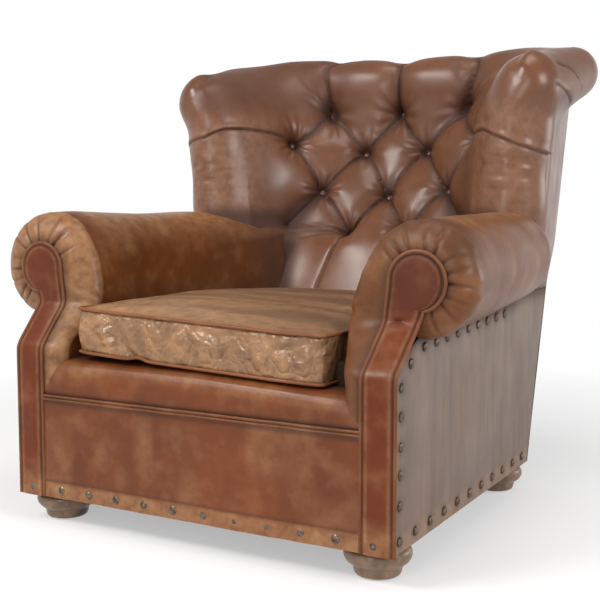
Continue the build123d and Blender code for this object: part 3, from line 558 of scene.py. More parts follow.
def with_nose(x, y, z, nose_x, nose):
    """Points at the heights z that end in the round of the wing."""
    nose_y = np.broadcast_to(WING_Y - WING_R * np.sin(nose), nose_x.shape)
    return level_points(np.hstack([x, nose_x]), np.hstack([y, nose_y]), z)


def inside_level(z, share, nose):
    """Right half of the inside at heights: the hollow of the back, then the round of the wing."""
    wing = wing_middle(z)
    end_x = wing - WING_R
    middle = 0.205 + 0.53 * np.maximum(z - 0.43, 0.0)
    sag = middle - WING_Y
    bend = (end_x**2 + sag**2) / (2 * sag)
    angle = share * np.arctan2(end_x, WING_Y - middle + bend)
    x, y = bend * np.sin(angle), middle - bend + bend * np.cos(angle)
    return with_nose(x, y, z, wing - WING_R * np.cos(nose), nose)


def outside_level(z, share, nose):
    """Right half of the outside at heights: the flat back, its corner, then the round of the wing."""
    wing, half = wing_middle(z), WING_R - 0.005
    rear = back_plane(z) - 0.007
    along, turn = np.clip(share / 0.55, 0, 1), np.clip((share - 0.55) / 0.45, 0, 1)
    corner = BODY_HALF + 0.004
    x = corner * along + (wing + half - corner) * turn
    y = rear + (WING_Y - rear) * turn
    return with_nose(x, y, z, wing + half * np.cos(nose), nose)


def hermite(start, leave, end, arrive, count):
    """Rows of points from one edge to another, without the first."""
    t = np.linspace(0, 1, count)[1:, None, None]
    return ((2 * t**3 - 3 * t**2 + 1) * start + (t**3 - 2 * t**2 + t) * leave
            + (3 * t**2 - 2 * t**3) * end + (t**3 - t**2) * arrive)


def unit(vectors):
    """Vectors of length one."""
    return vectors / np.maximum(np.linalg.norm(vectors, axis=-1, keepdims=True), 1e-12)


def back_halves():
    """Right half of the back: its inside from the seat to the crest, and its outside from the wing's foot."""
    share = np.linspace(0, 1, HOLLOW_COLS)
    nose = np.linspace(0, pi / 2, NOSE_COLS)[1:]
    bend, side = np.clip((share - CORNER_SHARE) / 0.2, 0, 1), np.clip((share - SIDE_SHARE) / 0.35, 0, 1)
    angle = (1 - bend) * pi / 2
    centre = np.stack([
        np.where(share < CORNER_SHARE, CORNER_X * share / CORNER_SHARE,
                 CORNER_X + CORNER_R * np.cos(angle) - 0.039 * side),
        np.where(share < SIDE_SHARE, CORNER_Y + CORNER_R * np.sin(angle), CORNER_Y - 0.211 * side),
        ROLL_Z + 0.006 * smooth_step(share / 0.5) - 0.066 * rise(share, CORNER_SHARE, 0.55)], -1)
    tip = np.stack([np.full_like(nose, TIP_X), TIP_Y - TIP_R * np.sin(nose), np.full_like(nose, TIP_Z)], -1)
    centre = np.concatenate([centre, tip])
    along = np.append(share, np.ones_like(nose))
    under = UNDER_TURN + (FRONT_TURN - UNDER_TURN) * rise(along, 0.70, 0.25)
    out = np.concatenate([np.stack([np.cos(angle), np.sin(angle), np.zeros_like(angle)], -1),
                          np.tile([1.0, 0.0, 0.0], (NOSE_COLS - 1, 1))])
    ending = np.concatenate([np.ones(HOLLOW_COLS), np.cos(nose)])[:, None]
    thick = ROLL_R + (TIP_R - ROLL_R) * rise(share, CORNER_SHARE, 0.55)
    girth = ending * np.append(thick, np.full_like(nose, TIP_R))[:, None]
    up = np.array([0.0, 0.0, 1.0])

    round_x, round_y = 0.350 * np.sin(share * pi / 2), TIP_Y + 0.243 * np.cos(share * pi / 2)
    rounded = np.stack([round_x, round_y, centre[:HOLLOW_COLS, 2]], -1) - centre[:HOLLOW_COLS]
    inward = -girth * out
    inward[:HOLLOW_COLS] += 0.6 * (rounded - inward[:HOLLOW_COLS])

    def roll(turns):
        across = np.where(np.cos(turns)[..., None] < 0, -inward, girth * out)
        return centre + np.cos(turns)[..., None] * across + np.sin(turns)[..., None] * girth * up

    z = np.linspace(BACK_LOW, FLARE_Z, LEAN_ROWS)[:, None]
    foot = int(np.argmax(z[:, 0] >= WING_LOW))
    lean = inside_level(z, share[None], nose[None])
    drop = outside_level(z[foot:], share[None], nose[None])
    slope = np.linspace(0, 1, CREST_ROWS)[:, None]
    inner_turns = np.broadcast_to(0.75 * pi - pi / 4 * slope, (CREST_ROWS, len(under)))
    outer_turns = under + (pi / 2 - under) * slope
    curl = unit(ending * (np.cos(under)[:, None] * up - np.sin(under)[:, None] * out) + (1 - ending) * up)
    halves = []
    over = unit(up - inward / TIP_R)
    for rows, turns, arrive in ((lean, inner_turns, over), (drop, outer_turns, curl)):
        edge = roll(turns)[0]
        reach = np.linalg.norm(edge - rows[-1], axis=-1, keepdims=True)
        flare = hermite(rows[-1], unit(rows[-1] - rows[-2]) * reach, edge, arrive * reach, FLARE_ROWS)
        halves.append(np.concatenate([rows, flare, roll(turns)[1:]]))
    return halves[0], halves[1], foot


def ease_turn(rows, first, spread, rounds):
    """Ease a sharp turn along the rows near one column."""
    weight = bell(np.arange(rows.shape[1]) - first, spread)[None, 1:-1, None]
    for _ in range(rounds):
        mean = (rows[:, :-2] + rows[:, 2:]) / 2
        rows[:, 1:-1] += 0.5 * weight * (mean - rows[:, 1:-1])
    return rows


def ease_form(band, rounds):
    """Ease the whole wrap of the wing and the roll without shrinking it. The lowest row stays."""
    weight = smooth_step(np.arange(len(band)) / 12.0)[:, None, None]
    for step in range(2 * rounds):
        wide = np.concatenate([mirrored(band[:, 1:2]), band, mirrored(band[:, -2:-1])], axis=1)
        tall = np.concatenate([2 * band[:1] - band[1:2], band, band[-2:-1, ::-1]])
        mean = (wide[:, :-2] + wide[:, 2:] + tall[:-2] + tall[2:]) / 4
        band = band + (SHRINK if step % 2 == 0 else REGROW) * weight * (mean - band)
    return band


def rise_left(points):
    """How much fuller the top roll's left end is stuffed than its right."""
    x, y, z = points[..., 0], points[..., 1], points[..., 2]
    return 0.011 * rise(z, 0.86, 0.12) * fall(x, 0.02, 0.25) * rise(y, 0.14, 0.2)


def settle(depth, held, push, rounds):
    """Let the skin settle between the places that are held, swelling where it is pushed."""
    rows, cols = depth.shape
    chequer = (np.add.outer(np.arange(rows), np.arange(cols)) % 2).astype(bool)
    for _ in range(rounds):
        for colour in (chequer, ~chequer):
            wide = np.pad(depth, 1, mode="edge")
            mean = (wide[:-2, 1:-1] + wide[2:, 1:-1] + wide[1:-1, :-2] + wide[1:-1, 2:]) / 4
            depth = np.where(colour & ~held, depth + OVERSHOOT * (mean - push - depth), depth)
    return depth


def nearest_cell(skin, x, z):
    """Row and column of the skin's cell at a place on the inside of the back."""
    gap = (skin[..., 0] - x) ** 2 + (skin[..., 2] - z) ** 2
    return np.array(np.unravel_index(np.argmin(gap), gap.shape))


def pleat_lines(skin, cells, deep):
    """Pleats as (start, end, depth there, depth there, slack, painted shade along it, drawn tight or only
    pressed in).
    """
    lines = [(cells[pair[:2]], cells[pair[2:]], deep[pair[:2]], deep[pair[2:]], 0.46, 0.8, True)
             for pair in DIAMONDS]
    for side, upper, lower in ((-1, "c1", "d1"), (1, "c3", "d2")):
        corner = nearest_cell(skin, side * 0.224, 0.604)
        lines.append((cells[upper], corner, deep[upper], 0.046, 0.85, 1.0, True))
        heel = nearest_cell(skin, side * 0.216, 0.590)
        lines.append((cells[lower], heel, deep[lower], 0.030, 0.5, 0.7, True))
        for x, z, dark in ((0.196, 0.612, 0.55), (0.196, 0.574, 0.4)):
            lines.append((cells[lower], nearest_cell(skin, side * x, z), 0.010, 0.001, 0.7, dark, False))
        elbow = nearest_cell(skin, side * 0.096, 0.525)
        lines.append((cells[lower], elbow, 0.014, 0.010, 0.8, 0.6, False))
        lines.append((elbow, nearest_cell(skin, side * 0.120, 0.440), 0.010, 0.005, 0.9, 0.5, False))
        lines.append((cells[lower], nearest_cell(skin, side * 0.020, 0.598), 0.010, 0.001, 0.6, 0.4, False))
    fans = {"a1": (-0.050, -0.026, 0.004), "a2": (-0.018, 0.002, 0.020), "a3": (-0.014, 0.022, 0.050)}
    for name, sways in fans.items():
        for order, sway in enumerate(sways):
            main = order == (2 if name == "a1" else 1)
            end = nearest_cell(skin, BUTTONS[name][0] + sway, 1.040 if main else 1.000)
            lines.append((cells[name], end, 0.020 if main else 0.008, 0.011 if main else 0.002, 0.8,
                          0.75 if main else 0.5, False))
    return lines


def tufting(skin, sizes):
    """How far each cell of the inside is drawn in, its painted shade in folds and pits, and the cells of the
    buttons.
    """
    rows, cols = skin.shape[:2]
    row_at, col_at = np.meshgrid(np.arange(rows), np.arange(cols), indexing="ij")
    cells = {name: nearest_cell(skin, *place) for name, place in BUTTONS.items()}
    deep = {name: sizes.tuft_depth * (0.5 if name == "a2" else 1.0 if name[0] in "bc" else 0.9)
            for name in cells}
    depth, near, pressed = np.zeros((rows, cols)), np.full((rows, cols), 1.0), np.zeros((rows, cols))
    held, above, fold = np.zeros((rows, cols), bool), np.zeros((rows, cols)), np.zeros((rows, cols))
    for a, b, deep_a, deep_b, slack, dark, tight in pleat_lines(skin, cells, deep):
        run = (b - a).astype(float)
        along = np.clip(((row_at - a[0]) * run[0] + (col_at - a[1]) * run[1]) / (run @ run), 0, 1)
        off_row = row_at - a[0] - along * run[0]
        gap = np.hypot(off_row, col_at - a[1] - along * run[1]) * CELL
        if tight:
            t = np.linspace(0, 1, int(np.abs(run).max()) * 2 + 2)
            path = np.rint(a + np.outer(t, run)).astype(int)
            middle = slack * min(deep_a, deep_b)
            line = middle + (np.where(t < 0.5, deep_a, deep_b) - middle) * np.abs(2 * t - 1) ** 1.8
            depth[path[:, 0], path[:, 1]] = np.maximum(depth[path[:, 0], path[:, 1]], line)
            held[path[:, 0], path[:, 1]] = True
            closer = gap < near
            near, above = np.where(closer, gap, near), np.where(closer, np.sign(off_row + 1e-6), above)
            fade = 1.0
        else:
            line = (deep_a + (deep_b - deep_a) * along) * (1 - (1 - slack) * np.sin(pi * along))
            wide = 0.006 + 0.5 * line
            pressed = np.maximum(pressed, line * (0.6 * np.exp(-gap / wide) + 0.4 * bell(gap, 0.004)))
            fade = np.clip(0.25 + (line / deep_a) ** 0.8, 0, 1)
        # Painted shade along each pleat.
        fold = np.maximum(fold, dark * fade * bell(gap, 0.0058))
    to_button, ripples = np.full((rows, cols), 1.0), np.zeros((rows, cols))
    for order, (name, cell) in enumerate(cells.items()):
        gap = np.hypot(row_at - cell[0], col_at - cell[1]) * CELL
        to_button = np.minimum(to_button, gap)
        pit = gap < 0.010
        depth[pit], held[pit] = deep[name] * 1.06, True
        way = np.arctan2(row_at - cell[0], col_at - cell[1])
        ripples += bell(gap - 0.032, 0.022) * np.cos((9 + order % 4) * way + 1.7 * order)
    held[-1], held[:, :HELD_COLS], held[:, -HELD_COLS:] = True, True, True
    push = sizes.pillow_puff * bell(to_button, 0.062)
    crest, side = rise(skin[..., 2], 0.88, 0.04), rise(np.abs(skin[..., 0]), 0.22, 0.03)
    push *= (1 - 0.8 * crest) * (1 - 0.6 * side)
    depth = settle(depth, held, push, SETTLE_ROUNDS) + pressed
    near_button = np.exp(-to_button / 0.2)
    depth += 0.0024 * bell(near, 0.0030) * near_button
    depth -= 0.0036 * bell(near, 0.0090) * (above > 0) * near_button
    depth += sizes.wrinkle_depth * ripples
    # Painted shade: darker in the deeper valleys and round the pits of the buttons.
    fold = np.maximum(fold, 0.90 * rise(depth, 0.010, 0.024))
    fold = np.maximum(fold, bell(to_button, 0.020))
    return depth, np.clip(fold, 0, 1), cells


def top_lobes(skin):
    """Swelling of the stuffing between the pleats that run up over the top."""
    x, z = skin[..., 0], skin[..., 2]
    lines = np.array([-0.176, 0.002, 0.200])
    gap = np.abs(x[..., None] - lines).min(axis=-1)
    lobe = 1 - bell(gap, 0.040)
    return 0.008 * (lobe - 0.55) * rise(z, 0.90, 0.05) * fall(np.abs(x), 0.42, 0.1)


def wing_marks(skin, outer, left):
    """Tuck from each outer button round its wing, the gathers below it, and slackness. Gives depth and the
    painted shade in the tuck.
    """
    x, y, z = np.abs(skin[..., 0]), skin[..., 1], skin[..., 2]
    reach = rise(x, 0.242, 0.02)
    arched = 0.815 + 0.026 * np.sin(pi * np.clip((x - 0.235) / 0.17, 0, 1)) - 0.006 * rise(x, 0.34, 0.06)
    if outer:
        arched = 0.8166 - 0.42 * np.clip(y - 0.102, 0, 0.2)
    falling = 0.815 - 0.40 * np.clip(x - 0.329, 0, 1) - 0.10 * np.clip(y - 0.163, 0, 0.2) * outer
    line = np.where(left, arched, falling)
    gap = z - line
    tuck = reach * (0.0034 * bell(gap, 0.0030) - 0.0022 * bell(gap - 0.007, 0.007))
    along = x + 0.6 * y
    low = fall(z, 0.800, 0.02) * rise(z, 0.640, 0.07)
    front = fall(y, 0.150, 0.04)
    gathers = 0.0016 * soft_noise(along, z + 0.1 * x, 0.034, 0.010, 5) * low * front
    slack = 0.0030 * soft_noise(along, z, 0.12, 0.08, 6) * rise(x, 0.24, 0.06)
    return tuck + gathers + slack, reach * bell(gap, 0.0036)


def roll_seams(skin):
    """Seams where the leather is drawn over the end of the right roll, by depth and height. Gives the painted
    shade along them.
    """
    x, y, z = skin[..., 0], skin[..., 1], skin[..., 2]
    fold = np.zeros_like(x)
    for depths, heights in (((0.134, 0.161, 0.203, 0.270), (0.909, 0.907, 0.894, 0.874)),
                            ((0.173, 0.235, 0.274, 0.300), (0.956, 0.949, 0.927, 0.900))):
        gap = z - np.interp(y, depths, heights)
        within = rise(y, depths[0], 0.02) * fall(y, depths[-1], 0.02) * (x > 0.44)
        fold = np.maximum(fold, within * bell(gap, 0.0034))
    return fold


def soften_tips(mesh, tips):
    """Even out the skin where its rows run together at the tips of the wings."""
    shape = bmesh.new()
    shape.from_mesh(mesh)
    for tip in tips:
        def close(reach):
            return [vertex for vertex in shape.verts if (vertex.co - Vector(tip)).length < reach]

        bmesh.ops.remove_doubles(shape, verts=close(0.030), dist=0.0030)
        bmesh.ops.delete(shape, geom=close(0.010), context="VERTS")
        open_edges = [edge for edge in shape.edges
                      if edge.is_boundary and (edge.verts[0].co - Vector(tip)).length < 0.04]
        filled = bmesh.ops.holes_fill(shape, edges=open_edges, sides=0)
        bmesh.ops.poke(shape, faces=filled["faces"])
        for reach, rounds in ((0.030, 40), (0.042, 24), (0.054, 16), (0.066, 12), (0.078, 8), (0.090, 4)):
            vertices = close(reach)
            for _ in range(rounds):
                bmesh.ops.smooth_vert(shape, verts=vertices, factor=0.5,
                                      use_axis_x=True, use_axis_y=True, use_axis_z=True)
    bmesh.ops.holes_fill(shape, edges=[edge for edge in shape.edges if edge.is_boundary], sides=0)
    bmesh.ops.recalc_face_normals(shape, faces=shape.faces)
    shape.to_mesh(mesh)
    shape.free()
    mesh.shade_smooth()


def back_form():
    """Smooth form of the back: its inside from wing to wing, the right half of its outside, the normals
    of both, and the row of the wing's foot."""
    inner, outer, foot = back_halves()
    half = inner.shape[1]
    inner = ease_turn(inner, HOLLOW_COLS - 4, TURN_COLS, TURN_ROUNDS)
    outer[:, -1], outer[-1] = inner[foot:, -1], inner[-1]
    band = ease_form(np.concatenate([inner[foot:], outer[:, -2::-1]], axis=1), FORM_ROUNDS)
    inner[foot:], outer = band[:, :half], band[:, :half - 2:-1]
    skin = np.concatenate([mirrored(inner)[:, :0:-1], inner], axis=1)
    skin[..., 2] += rise_left(skin)
    facing, wrap = normals_of(skin), normals_of(band)
    facing[foot:, half - 1 + WRAP_COL:] = wrap[:, WRAP_COL:half]
    facing[foot:, :half - WRAP_COL] = mirrored(wrap[:, half - 1:WRAP_COL - 1:-1])
    return skin, outer, facing, wrap[:, :half - 2:-1], foot


def rear_skins(outer, facing):
    """Outside of the back with its seams, for the right and then the left, both drawn on the right.
    Gives their painted shade in folds too."""
    fade = smooth_step((np.arange(outer.shape[1]) - REAR_FADE_COL) / REAR_FADE_COLS)[None, :]
    high = smooth_step((np.arange(len(outer)) - len(outer) + CREST_ROWS) / CREST_ROWS)[:, None]
    rears, folds = [], []
    for left in (False, True):
        tuck, tuck_mark = wing_marks(outer, True, left)
        seams = np.zeros_like(tuck) if left else roll_seams(outer)
        pressed = tuck * fade + 0.0022 * seams - top_lobes(outer) * high
        rears.append(outer - facing * pressed[..., None])
        folds.append(np.maximum(0.75 * tuck_mark * fade, 0.8 * seams))
    return rears, folds


def back_wear_and_light(skin, outer, drawn):
    """Lightening of the inside and of the outside: painted light on the wings, and real rubbing on the crests
    of the pillows.
    """
    # Painted light: the wings are made lighter, as if lit; on the outside this fades towards the rear.
    wear_and_light, turned = [0.60 * rise(np.abs(part[..., 0]), 0.25, 0.06) * fall(part[..., 2], 0.90, 0.06)
                    for part in (skin, outer)]
    # Real rubbing on the crests of the pillows.
    wear_and_light += 0.12 * (1 - smooth_step((drawn + 0.008) / 0.022))
    return wear_and_light, turned * fall(outer[..., 1], outer[:, -1:, 1] + 0.075, 0.060)


def joined_faces(parts, half):
    """Faces of the inside and the two outsides, and those that join them along their lower edge."""
    faces, starts = [], [0]
    for part in parts:
        rows, cols = part.shape[:2]
        faces += grid_faces(rows, cols, starts[-1])
        starts.append(starts[-1] + rows * cols)
    for k in range(half - 1):
        a = half - 1 + k
        faces.append([a, a + 1, starts[1] + k + 1, starts[1] + k])
        faces.append([half - 1 - k, half - 2 - k, starts[2] + k + 1, starts[2] + k])
    return faces


class CHAIR_OT_back(bpy.types.Operator):
    """Tufted back with both wings and the top roll, and its covered buttons"""

    bl_idname = "chair.back"
    bl_label = "Back and wings"

    def execute(self, context):
        skin, outer, facing, rear_facing, foot = back_form()
        half = outer.shape[1]
        x, z = np.abs(skin[..., 0]), skin[..., 2]
        depth, fold, cells = tufting(skin, context.scene.chair_sizes)
        tuck, tuck_mark = wing_marks(skin, False, skin[..., 0] < 0)
        drawn, fold = depth + tuck - top_lobes(skin), np.maximum(fold, 0.75 * tuck_mark)
        shaped = skin - facing * drawn[..., None]
        floor = BACK_LOW + rise(x[0], 0.214, 0.02) * (WING_LOW - BACK_LOW)
        low = np.minimum(np.argmax(z[:LEAN_ROWS] >= floor - 1e-6, axis=0), foot)
        for col, row in enumerate(low):
            shaped[:row, col] = shaped[row, col]
        (rear, left_rear), rear_folds = rear_skins(outer, rear_facing)
        left_rear = mirrored(left_rear)
        left_rear[..., 2] += rise_left(left_rear)
        rear[:, -1], rear[-1] = shaped[foot:, -1], shaped[-1, half - 1:]
        left_rear[:, -1], left_rear[-1] = shaped[foot:, 0], shaped[-1, half - 1::-1]
        parts = [shaped, rear, left_rear]

        # Painted shade: the left end of the top roll and the back beside the seat are darkened through the fold
        # mark.
        left_roll = fall(skin[..., 0], -0.06, 0.1) * rise(z, 0.86, 0.06)
        beside_seat = rise(x, 0.170, 0.045) * fall(z, 0.660, 0.04)
        fold = np.maximum.reduce([fold, 0.30 * left_roll, 0.8 * beside_seat])
        wear_and_light, turned = back_wear_and_light(skin, outer, drawn)
        marks = {mark: np.concatenate([np.ravel(part) for part in values])
                 for mark, values in (("fold", (fold, *rear_folds)), ("wear_and_light", (wear_and_light, turned, turned)))}
        points = np.concatenate([part.reshape(-1, 3) for part in parts])
        mesh = new_mesh("tufted_back_skin", points, joined_faces(parts, half), marks)
        soften_tips(mesh, [shaped[-1, 0], shaped[-1, -1]])
        piece = place_piece("tufted_back_skin", mesh, "back_leather",
                            replaces=("tufted_back", "inside_wing_left", "inside_wing_right"))
        facings = [facing[tuple(cell)] for cell in cells.values()]
        places = [shaped[tuple(cell)] - 0.001 * out for cell, out in zip(cells.values(), facings)]
        place_heads("back_button_heads", places, facings, 0.0095, 0.0055, 0.03, 3,
                    "button_leather", "back_buttons")
        return {"FINISHED"}


# Arms
WALL_ROWS, CROWN_ROWS, OUTER_ROWS = 50, 46, 84
RING_COLS, LENGTH_COLS = 26, 118
ARM_FRONT, ARM_LENGTH, ARM_TOP, ARM_R = -0.443, 0.513, 0.624, 0.106
ARM_CLOSE_Y, ARM_CLOSE, ARM_END_Y, ARM_END_R = 0.070, 0.090, 0.160, 0.018
WALL_ANGLE, LAST_ANGLE, EDGE_TURN = 180.0, -94.0, 80
PLEAT_START, PLEAT_ARC = 158.0, 238.0
ARM_HUB = np.array([0.402, 0.05, 0.42])


def arm_section(y, part, t):
    """Points of the arm's outline at depths: its inside wall, the crown and the outer roll."""
    share = np.clip((y - ARM_FRONT) / ARM_LENGTH, 0, 1)
    radius = ARM_R - 0.011 * share
    top = ARM_TOP + 0.010 * share
    inner = wall_x(y)
    taper = np.clip((y - TAPER_Y) / (CREASE_Y - TAPER_Y), 0, 1)
    axis_x = SEAT_HALF + radius
    lift = radius * (1 - 0.36 * taper**2)
    end = np.clip((y - ARM_CLOSE_Y) / ARM_CLOSE, 0, 1)
    radius_here = ARM_END_R + (radius - ARM_END_R) * np.sqrt(np.maximum(1 - end**2, 0))
    if part == "wall":
        return inner, WALL_LOW + (top - lift - WALL_LOW) * t
    if part == "crown":
        drop = (radius - radius_here) * np.sin(t) ** 3
        return axis_x - (axis_x - inner) * np.cos(t), top - lift + lift * np.sin(t) - drop
    return axis_x + radius_here * np.cos(t), top - radius + radius_here * np.sin(t)


def sleeve_bulge(y, z):
    """How far the padding of the right arm's front swells over the seat."""
    along = 1 - rise(np.asarray(y), -0.430, 0.230)
    return 0.033 * along * bell(np.asarray(z) - 0.462, 0.072)


def arm_skin(sizes, side, seed):
    """An arm, as if on the right: pleated edge round its facing, roll and inside wall.
    Gives points, the fold mark of painted shade, and the mark of rubbing and painted light."""
    wall = np.linspace(0, 1, WALL_ROWS)
    crown = np.linspace(0, pi / 2, CROWN_ROWS)[1:]
    outer = np.linspace(pi / 2, radians(LAST_ANGLE), OUTER_ROWS)[1:]
    strip, angles = [], []
    for part, values in (("wall", wall), ("crown", crown), ("outer", outer)):
        for t in values:
            if part == "wall":
                z = WALL_LOW + (HEAD_Z - WALL_LOW) * t
                edge = (np.interp(z, [0.0, KICK_Z, NECK_Z, HEAD_Z], FACING_EDGE) - 0.005, z)
                angle, stop = WALL_ANGLE, CREASE_Y + 0.002
            else:
                angle = WALL_ANGLE - np.degrees(t) if part == "crown" else np.degrees(t)
                spin = radians(angle if angle > 0 else angle * EDGE_TURN / -LAST_ANGLE)
                edge = (HEAD_X + (HEAD_R + 0.005) * cos(spin), HEAD_Z + (HEAD_R + 0.005) * sin(spin))
                easing = fall(angle, WALL_ANGLE, 95.0)
                stop = CREASE_Y + 0.002 + (ARM_END_Y - CREASE_Y) * easing
            face = float(facing_y(edge[1])) + 0.002
            puff = 0.030 + 0.016 * float(rise(edge[1], 0.40, 0.1))
            first = arm_section(np.array(face + puff), part, t)
            beta = np.linspace(0, pi / 2, RING_COLS)[:-1]
            ring = np.stack([edge[0] + (first[0] - edge[0]) * np.sin(beta),
                             face + puff * (1 - np.cos(beta)),
                             edge[1] + (first[1] - edge[1]) * np.sin(beta)], -1)
            y = face + puff + (stop - face - puff) * np.linspace(0, 1, LENGTH_COLS)
            x, z = arm_section(y, part, t)
            strip.append(np.concatenate([ring, np.stack([np.broadcast_to(x, y.shape), y,
                                                         np.broadcast_to(z, y.shape)], -1)]))
            angles.append(angle)
    points, angles = np.array(strip), np.array(angles)[:, None]
    wall_side = angles == WALL_ANGLE
    ring_share = np.concatenate([np.linspace(0, 1, RING_COLS)[:-1], np.ones(LENGTH_COLS)])[None, :]
    behind = np.maximum(points[..., 1] - points[:, RING_COLS:RING_COLS + 1, 1], 0)
    chance = np.random.RandomState(seed)
    count = sizes.ring_pleats
    spread = PLEAT_ARC / count
    starts = PLEAT_START - (np.arange(count) + 0.5) * spread + chance.uniform(-0.22, 0.22, count) * spread
    groove, mark = np.zeros(points.shape[:2]), np.zeros(points.shape[:2])
    for start in starts:
        reach = chance.uniform(0.62, 1.05)
        off = np.abs(angles - start - chance.uniform(-9, 9) * ring_share)
        fade = chance.uniform(0.3, 1.0) * fall(ring_share, reach, 0.5)
        width = 1.7 + 1.6 * (1 - ring_share)
        groove += fade * (0.0050 * bell(off, width) - 0.0012 * bell(off, 4 * width))
        mark += fade * bell(off, 0.8 * width)
    around = np.radians(angles) * 0.09
    pucker = bell(behind, 0.03) * (ring_share >= 1) + rise(ring_share, 0.6, 0.4) * (ring_share < 1)
    groove += 0.0016 * pucker * soft_noise(around, points[..., 1], 0.013, 0.05, seed + 1)
    length = np.cumsum(np.linalg.norm(np.gradient(points, axis=0), axis=-1), axis=0)
    groove += 0.0020 * soft_noise(length, points[..., 1], 0.10, 0.12, seed + 2) * smooth_step(behind / 0.05)
    lower = wall_side * fall(points[..., 2], 0.50, 0.05) * rise(points[..., 2], 0.42, 0.03)
    groove += 0.0030 * lower * bell(points[..., 1] + 0.43, 0.04) * soft_noise(
        points[..., 2] + 0.7 * points[..., 1], points[..., 1], 0.012, 0.2, seed + 3)
    groove = np.where(wall_side, groove * smooth_step(ring_share / 0.4), groove)
    grown = np.sin(ring_share * pi / 2)
    inward = fall(points[..., 0], HEAD_X, 0.05)
    swollen = 1.0 if side == "right" else 0.6
    points[..., 0] -= swollen * grown * inward * sleeve_bulge(points[..., 1], points[..., 2])
    if side == "left":
        fuller = grown * bell(behind, 0.16)
        points[..., 0] += 0.023 * fuller * fall(angles, 125.0, 110.0)
        points[..., 2] += 0.009 * fuller * rise(points[..., 2], 0.52, 0.1)
    points = points + normals_of(points) * groove[..., None]
    # Painted shade in the pleats, along the facing's edge and in the fold where the arm meets the back.
    tight = bell(ring_share, 0.16)
    fold = np.clip(0.55 * mark * (1 - 0.6 * ring_share) + 0.55 * tight, 0, 1)
    crease_shade = rise(points[..., 1], 0.06, 0.13) * rise(angles, 85, 75.0)
    fold = np.maximum(fold, 0.55 * crease_shade)
    seat_shadow = wall_side * fall(points[..., 2], 0.50, 0.06) * rise(points[..., 1], -0.40, 0.1)
    fold = np.maximum(fold, 0.35 * seat_shadow)
    # Lighter on the arm's top and between the pleats of its ring: real rubbing, with the left arm made lighter
    # than the right as painted light.
    rubbed_and_lit = 0.55 if side == "left" else 0.40
    wear_and_light = rubbed_and_lit * bell(angles - 100, 45.0) * smooth_step(behind / 0.06)
    wear_and_light = wear_and_light + (0.55 if side == "left" else 0.10) * (1 - mark) * (ring_share < 1)
    # Painted shade: the top of the right arm's ring is darker, as less light falls on it.
    if side == "right":
        ring_top_shade = rise(angles, -10.0, 50.0) * fall(angles, 170.0, 40.0) * bell(behind, 0.03)
        fold = np.maximum(fold, 0.34 * ring_top_shade * smooth_step(ring_share / 0.3))
    return points, np.clip(fold, 0, 1), np.clip(wear_and_light, 0, 1)


class CHAIR_OT_arms(bpy.types.Operator):
    """Rolled arms with pleats gathered round their facings"""

    bl_idname = "chair.arms"
    bl_label = "Arms"

    def execute(self, context):
        for side, seed in (("right", 21), ("left", 44)):
            points, fold, wear_and_light = arm_skin(context.scene.chair_sizes, side, seed)
            hub = ARM_HUB
            if side == "left":
                points, hub = mirrored(points), mirrored(hub)
            name = f"arm_skin_{side}"
            mesh = pad_mesh(name, points, hub, {"fold": fold, "wear_and_light": wear_and_light})
            piece = place_piece(name, mesh, "arm_leather",
                                replaces=(f"arm_cover_{side}", f"arm_padding_{side}"))
        return {"FINISHED"}


def facing_sides(z):
    """Inner and outer edge of the right arm's facing at a height."""
    inner = np.interp(z, [0.0, KICK_Z, NECK_Z, HEAD_Z], FACING_EDGE)
    outer = np.interp(z, [0.0, KICK_Z, NECK_Z, NECK_OUT_Z], [BODY_HALF, BODY_HALF, 0.426, 0.435])
    round_half = np.sqrt(np.maximum(HEAD_R**2 - (z - HEAD_Z) ** 2, 0))
    inner = np.where(z > HEAD_Z, HEAD_X - round_half, inner)
    outer = np.where(z > NECK_OUT_Z, HEAD_X + round_half, outer)
    return inner, outer


def facing_heights():
    """Heights along a facing, closer together round its head."""
    head = HEAD_Z + HEAD_R * np.sin(np.linspace(-1.38, pi / 2, 74))
    return np.concatenate([np.linspace(HEM_Z, head[0], 84)[:-1], head])


def facing_front(z, inner, outer, seed, tense):
    """Front of the right arm's facing, drawn in at its neck. Gives the grid of its points, and its marks."""
    tall, across = z[:, None], np.linspace(0, 1, 25)[None, :]
    x = inner[:, None] + (outer - inner)[:, None] * across
    half = (outer - inner)[:, None] / 2
    gap = np.minimum(across, 1 - across) * 2 * half
    gap = np.where(tall > HEAD_Z, HEAD_R - np.hypot(x - HEAD_X, tall - HEAD_Z), gap)
    puff = 0.0030 * np.sqrt(np.clip(gap / 0.018, 0, 1))
    dents = 0.0012 * soft_noise(x, tall, 0.05, 0.09, seed)
    pinch = bell(x - 0.392 - 0.4 * (tall - 0.449), 0.015)
    lid, pouch = pinch * bell(tall - 0.4490, 0.0045), pinch * bell(tall - 0.4385, 0.0060)
    drawn = tense * (0.0040 * lid - 0.0025 * pouch)
    y = facing_y(z)[:, None] - puff + dents * np.clip(gap / 0.02, 0, 1) + drawn
    # Painted shade beside the welt, in the pinch at the neck and over the head of the right facing; the left
    # facing gets about a third of the last two.
    fold = 0.8 * bell(gap - 0.0028, 0.0020) + tense * (0.5 * lid + 0.42 * rise(tall, 0.452, 0.02))
    wear_and_light = 0.28 * bell(gap - 0.0075, 0.0035) + 0.4 * fall(tall, 0.13, 0.05)
    return level_points(x, y, tall), {"fold": np.clip(fold, 0, 1), "wear_and_light": np.clip(wear_and_light, 0, 1)}


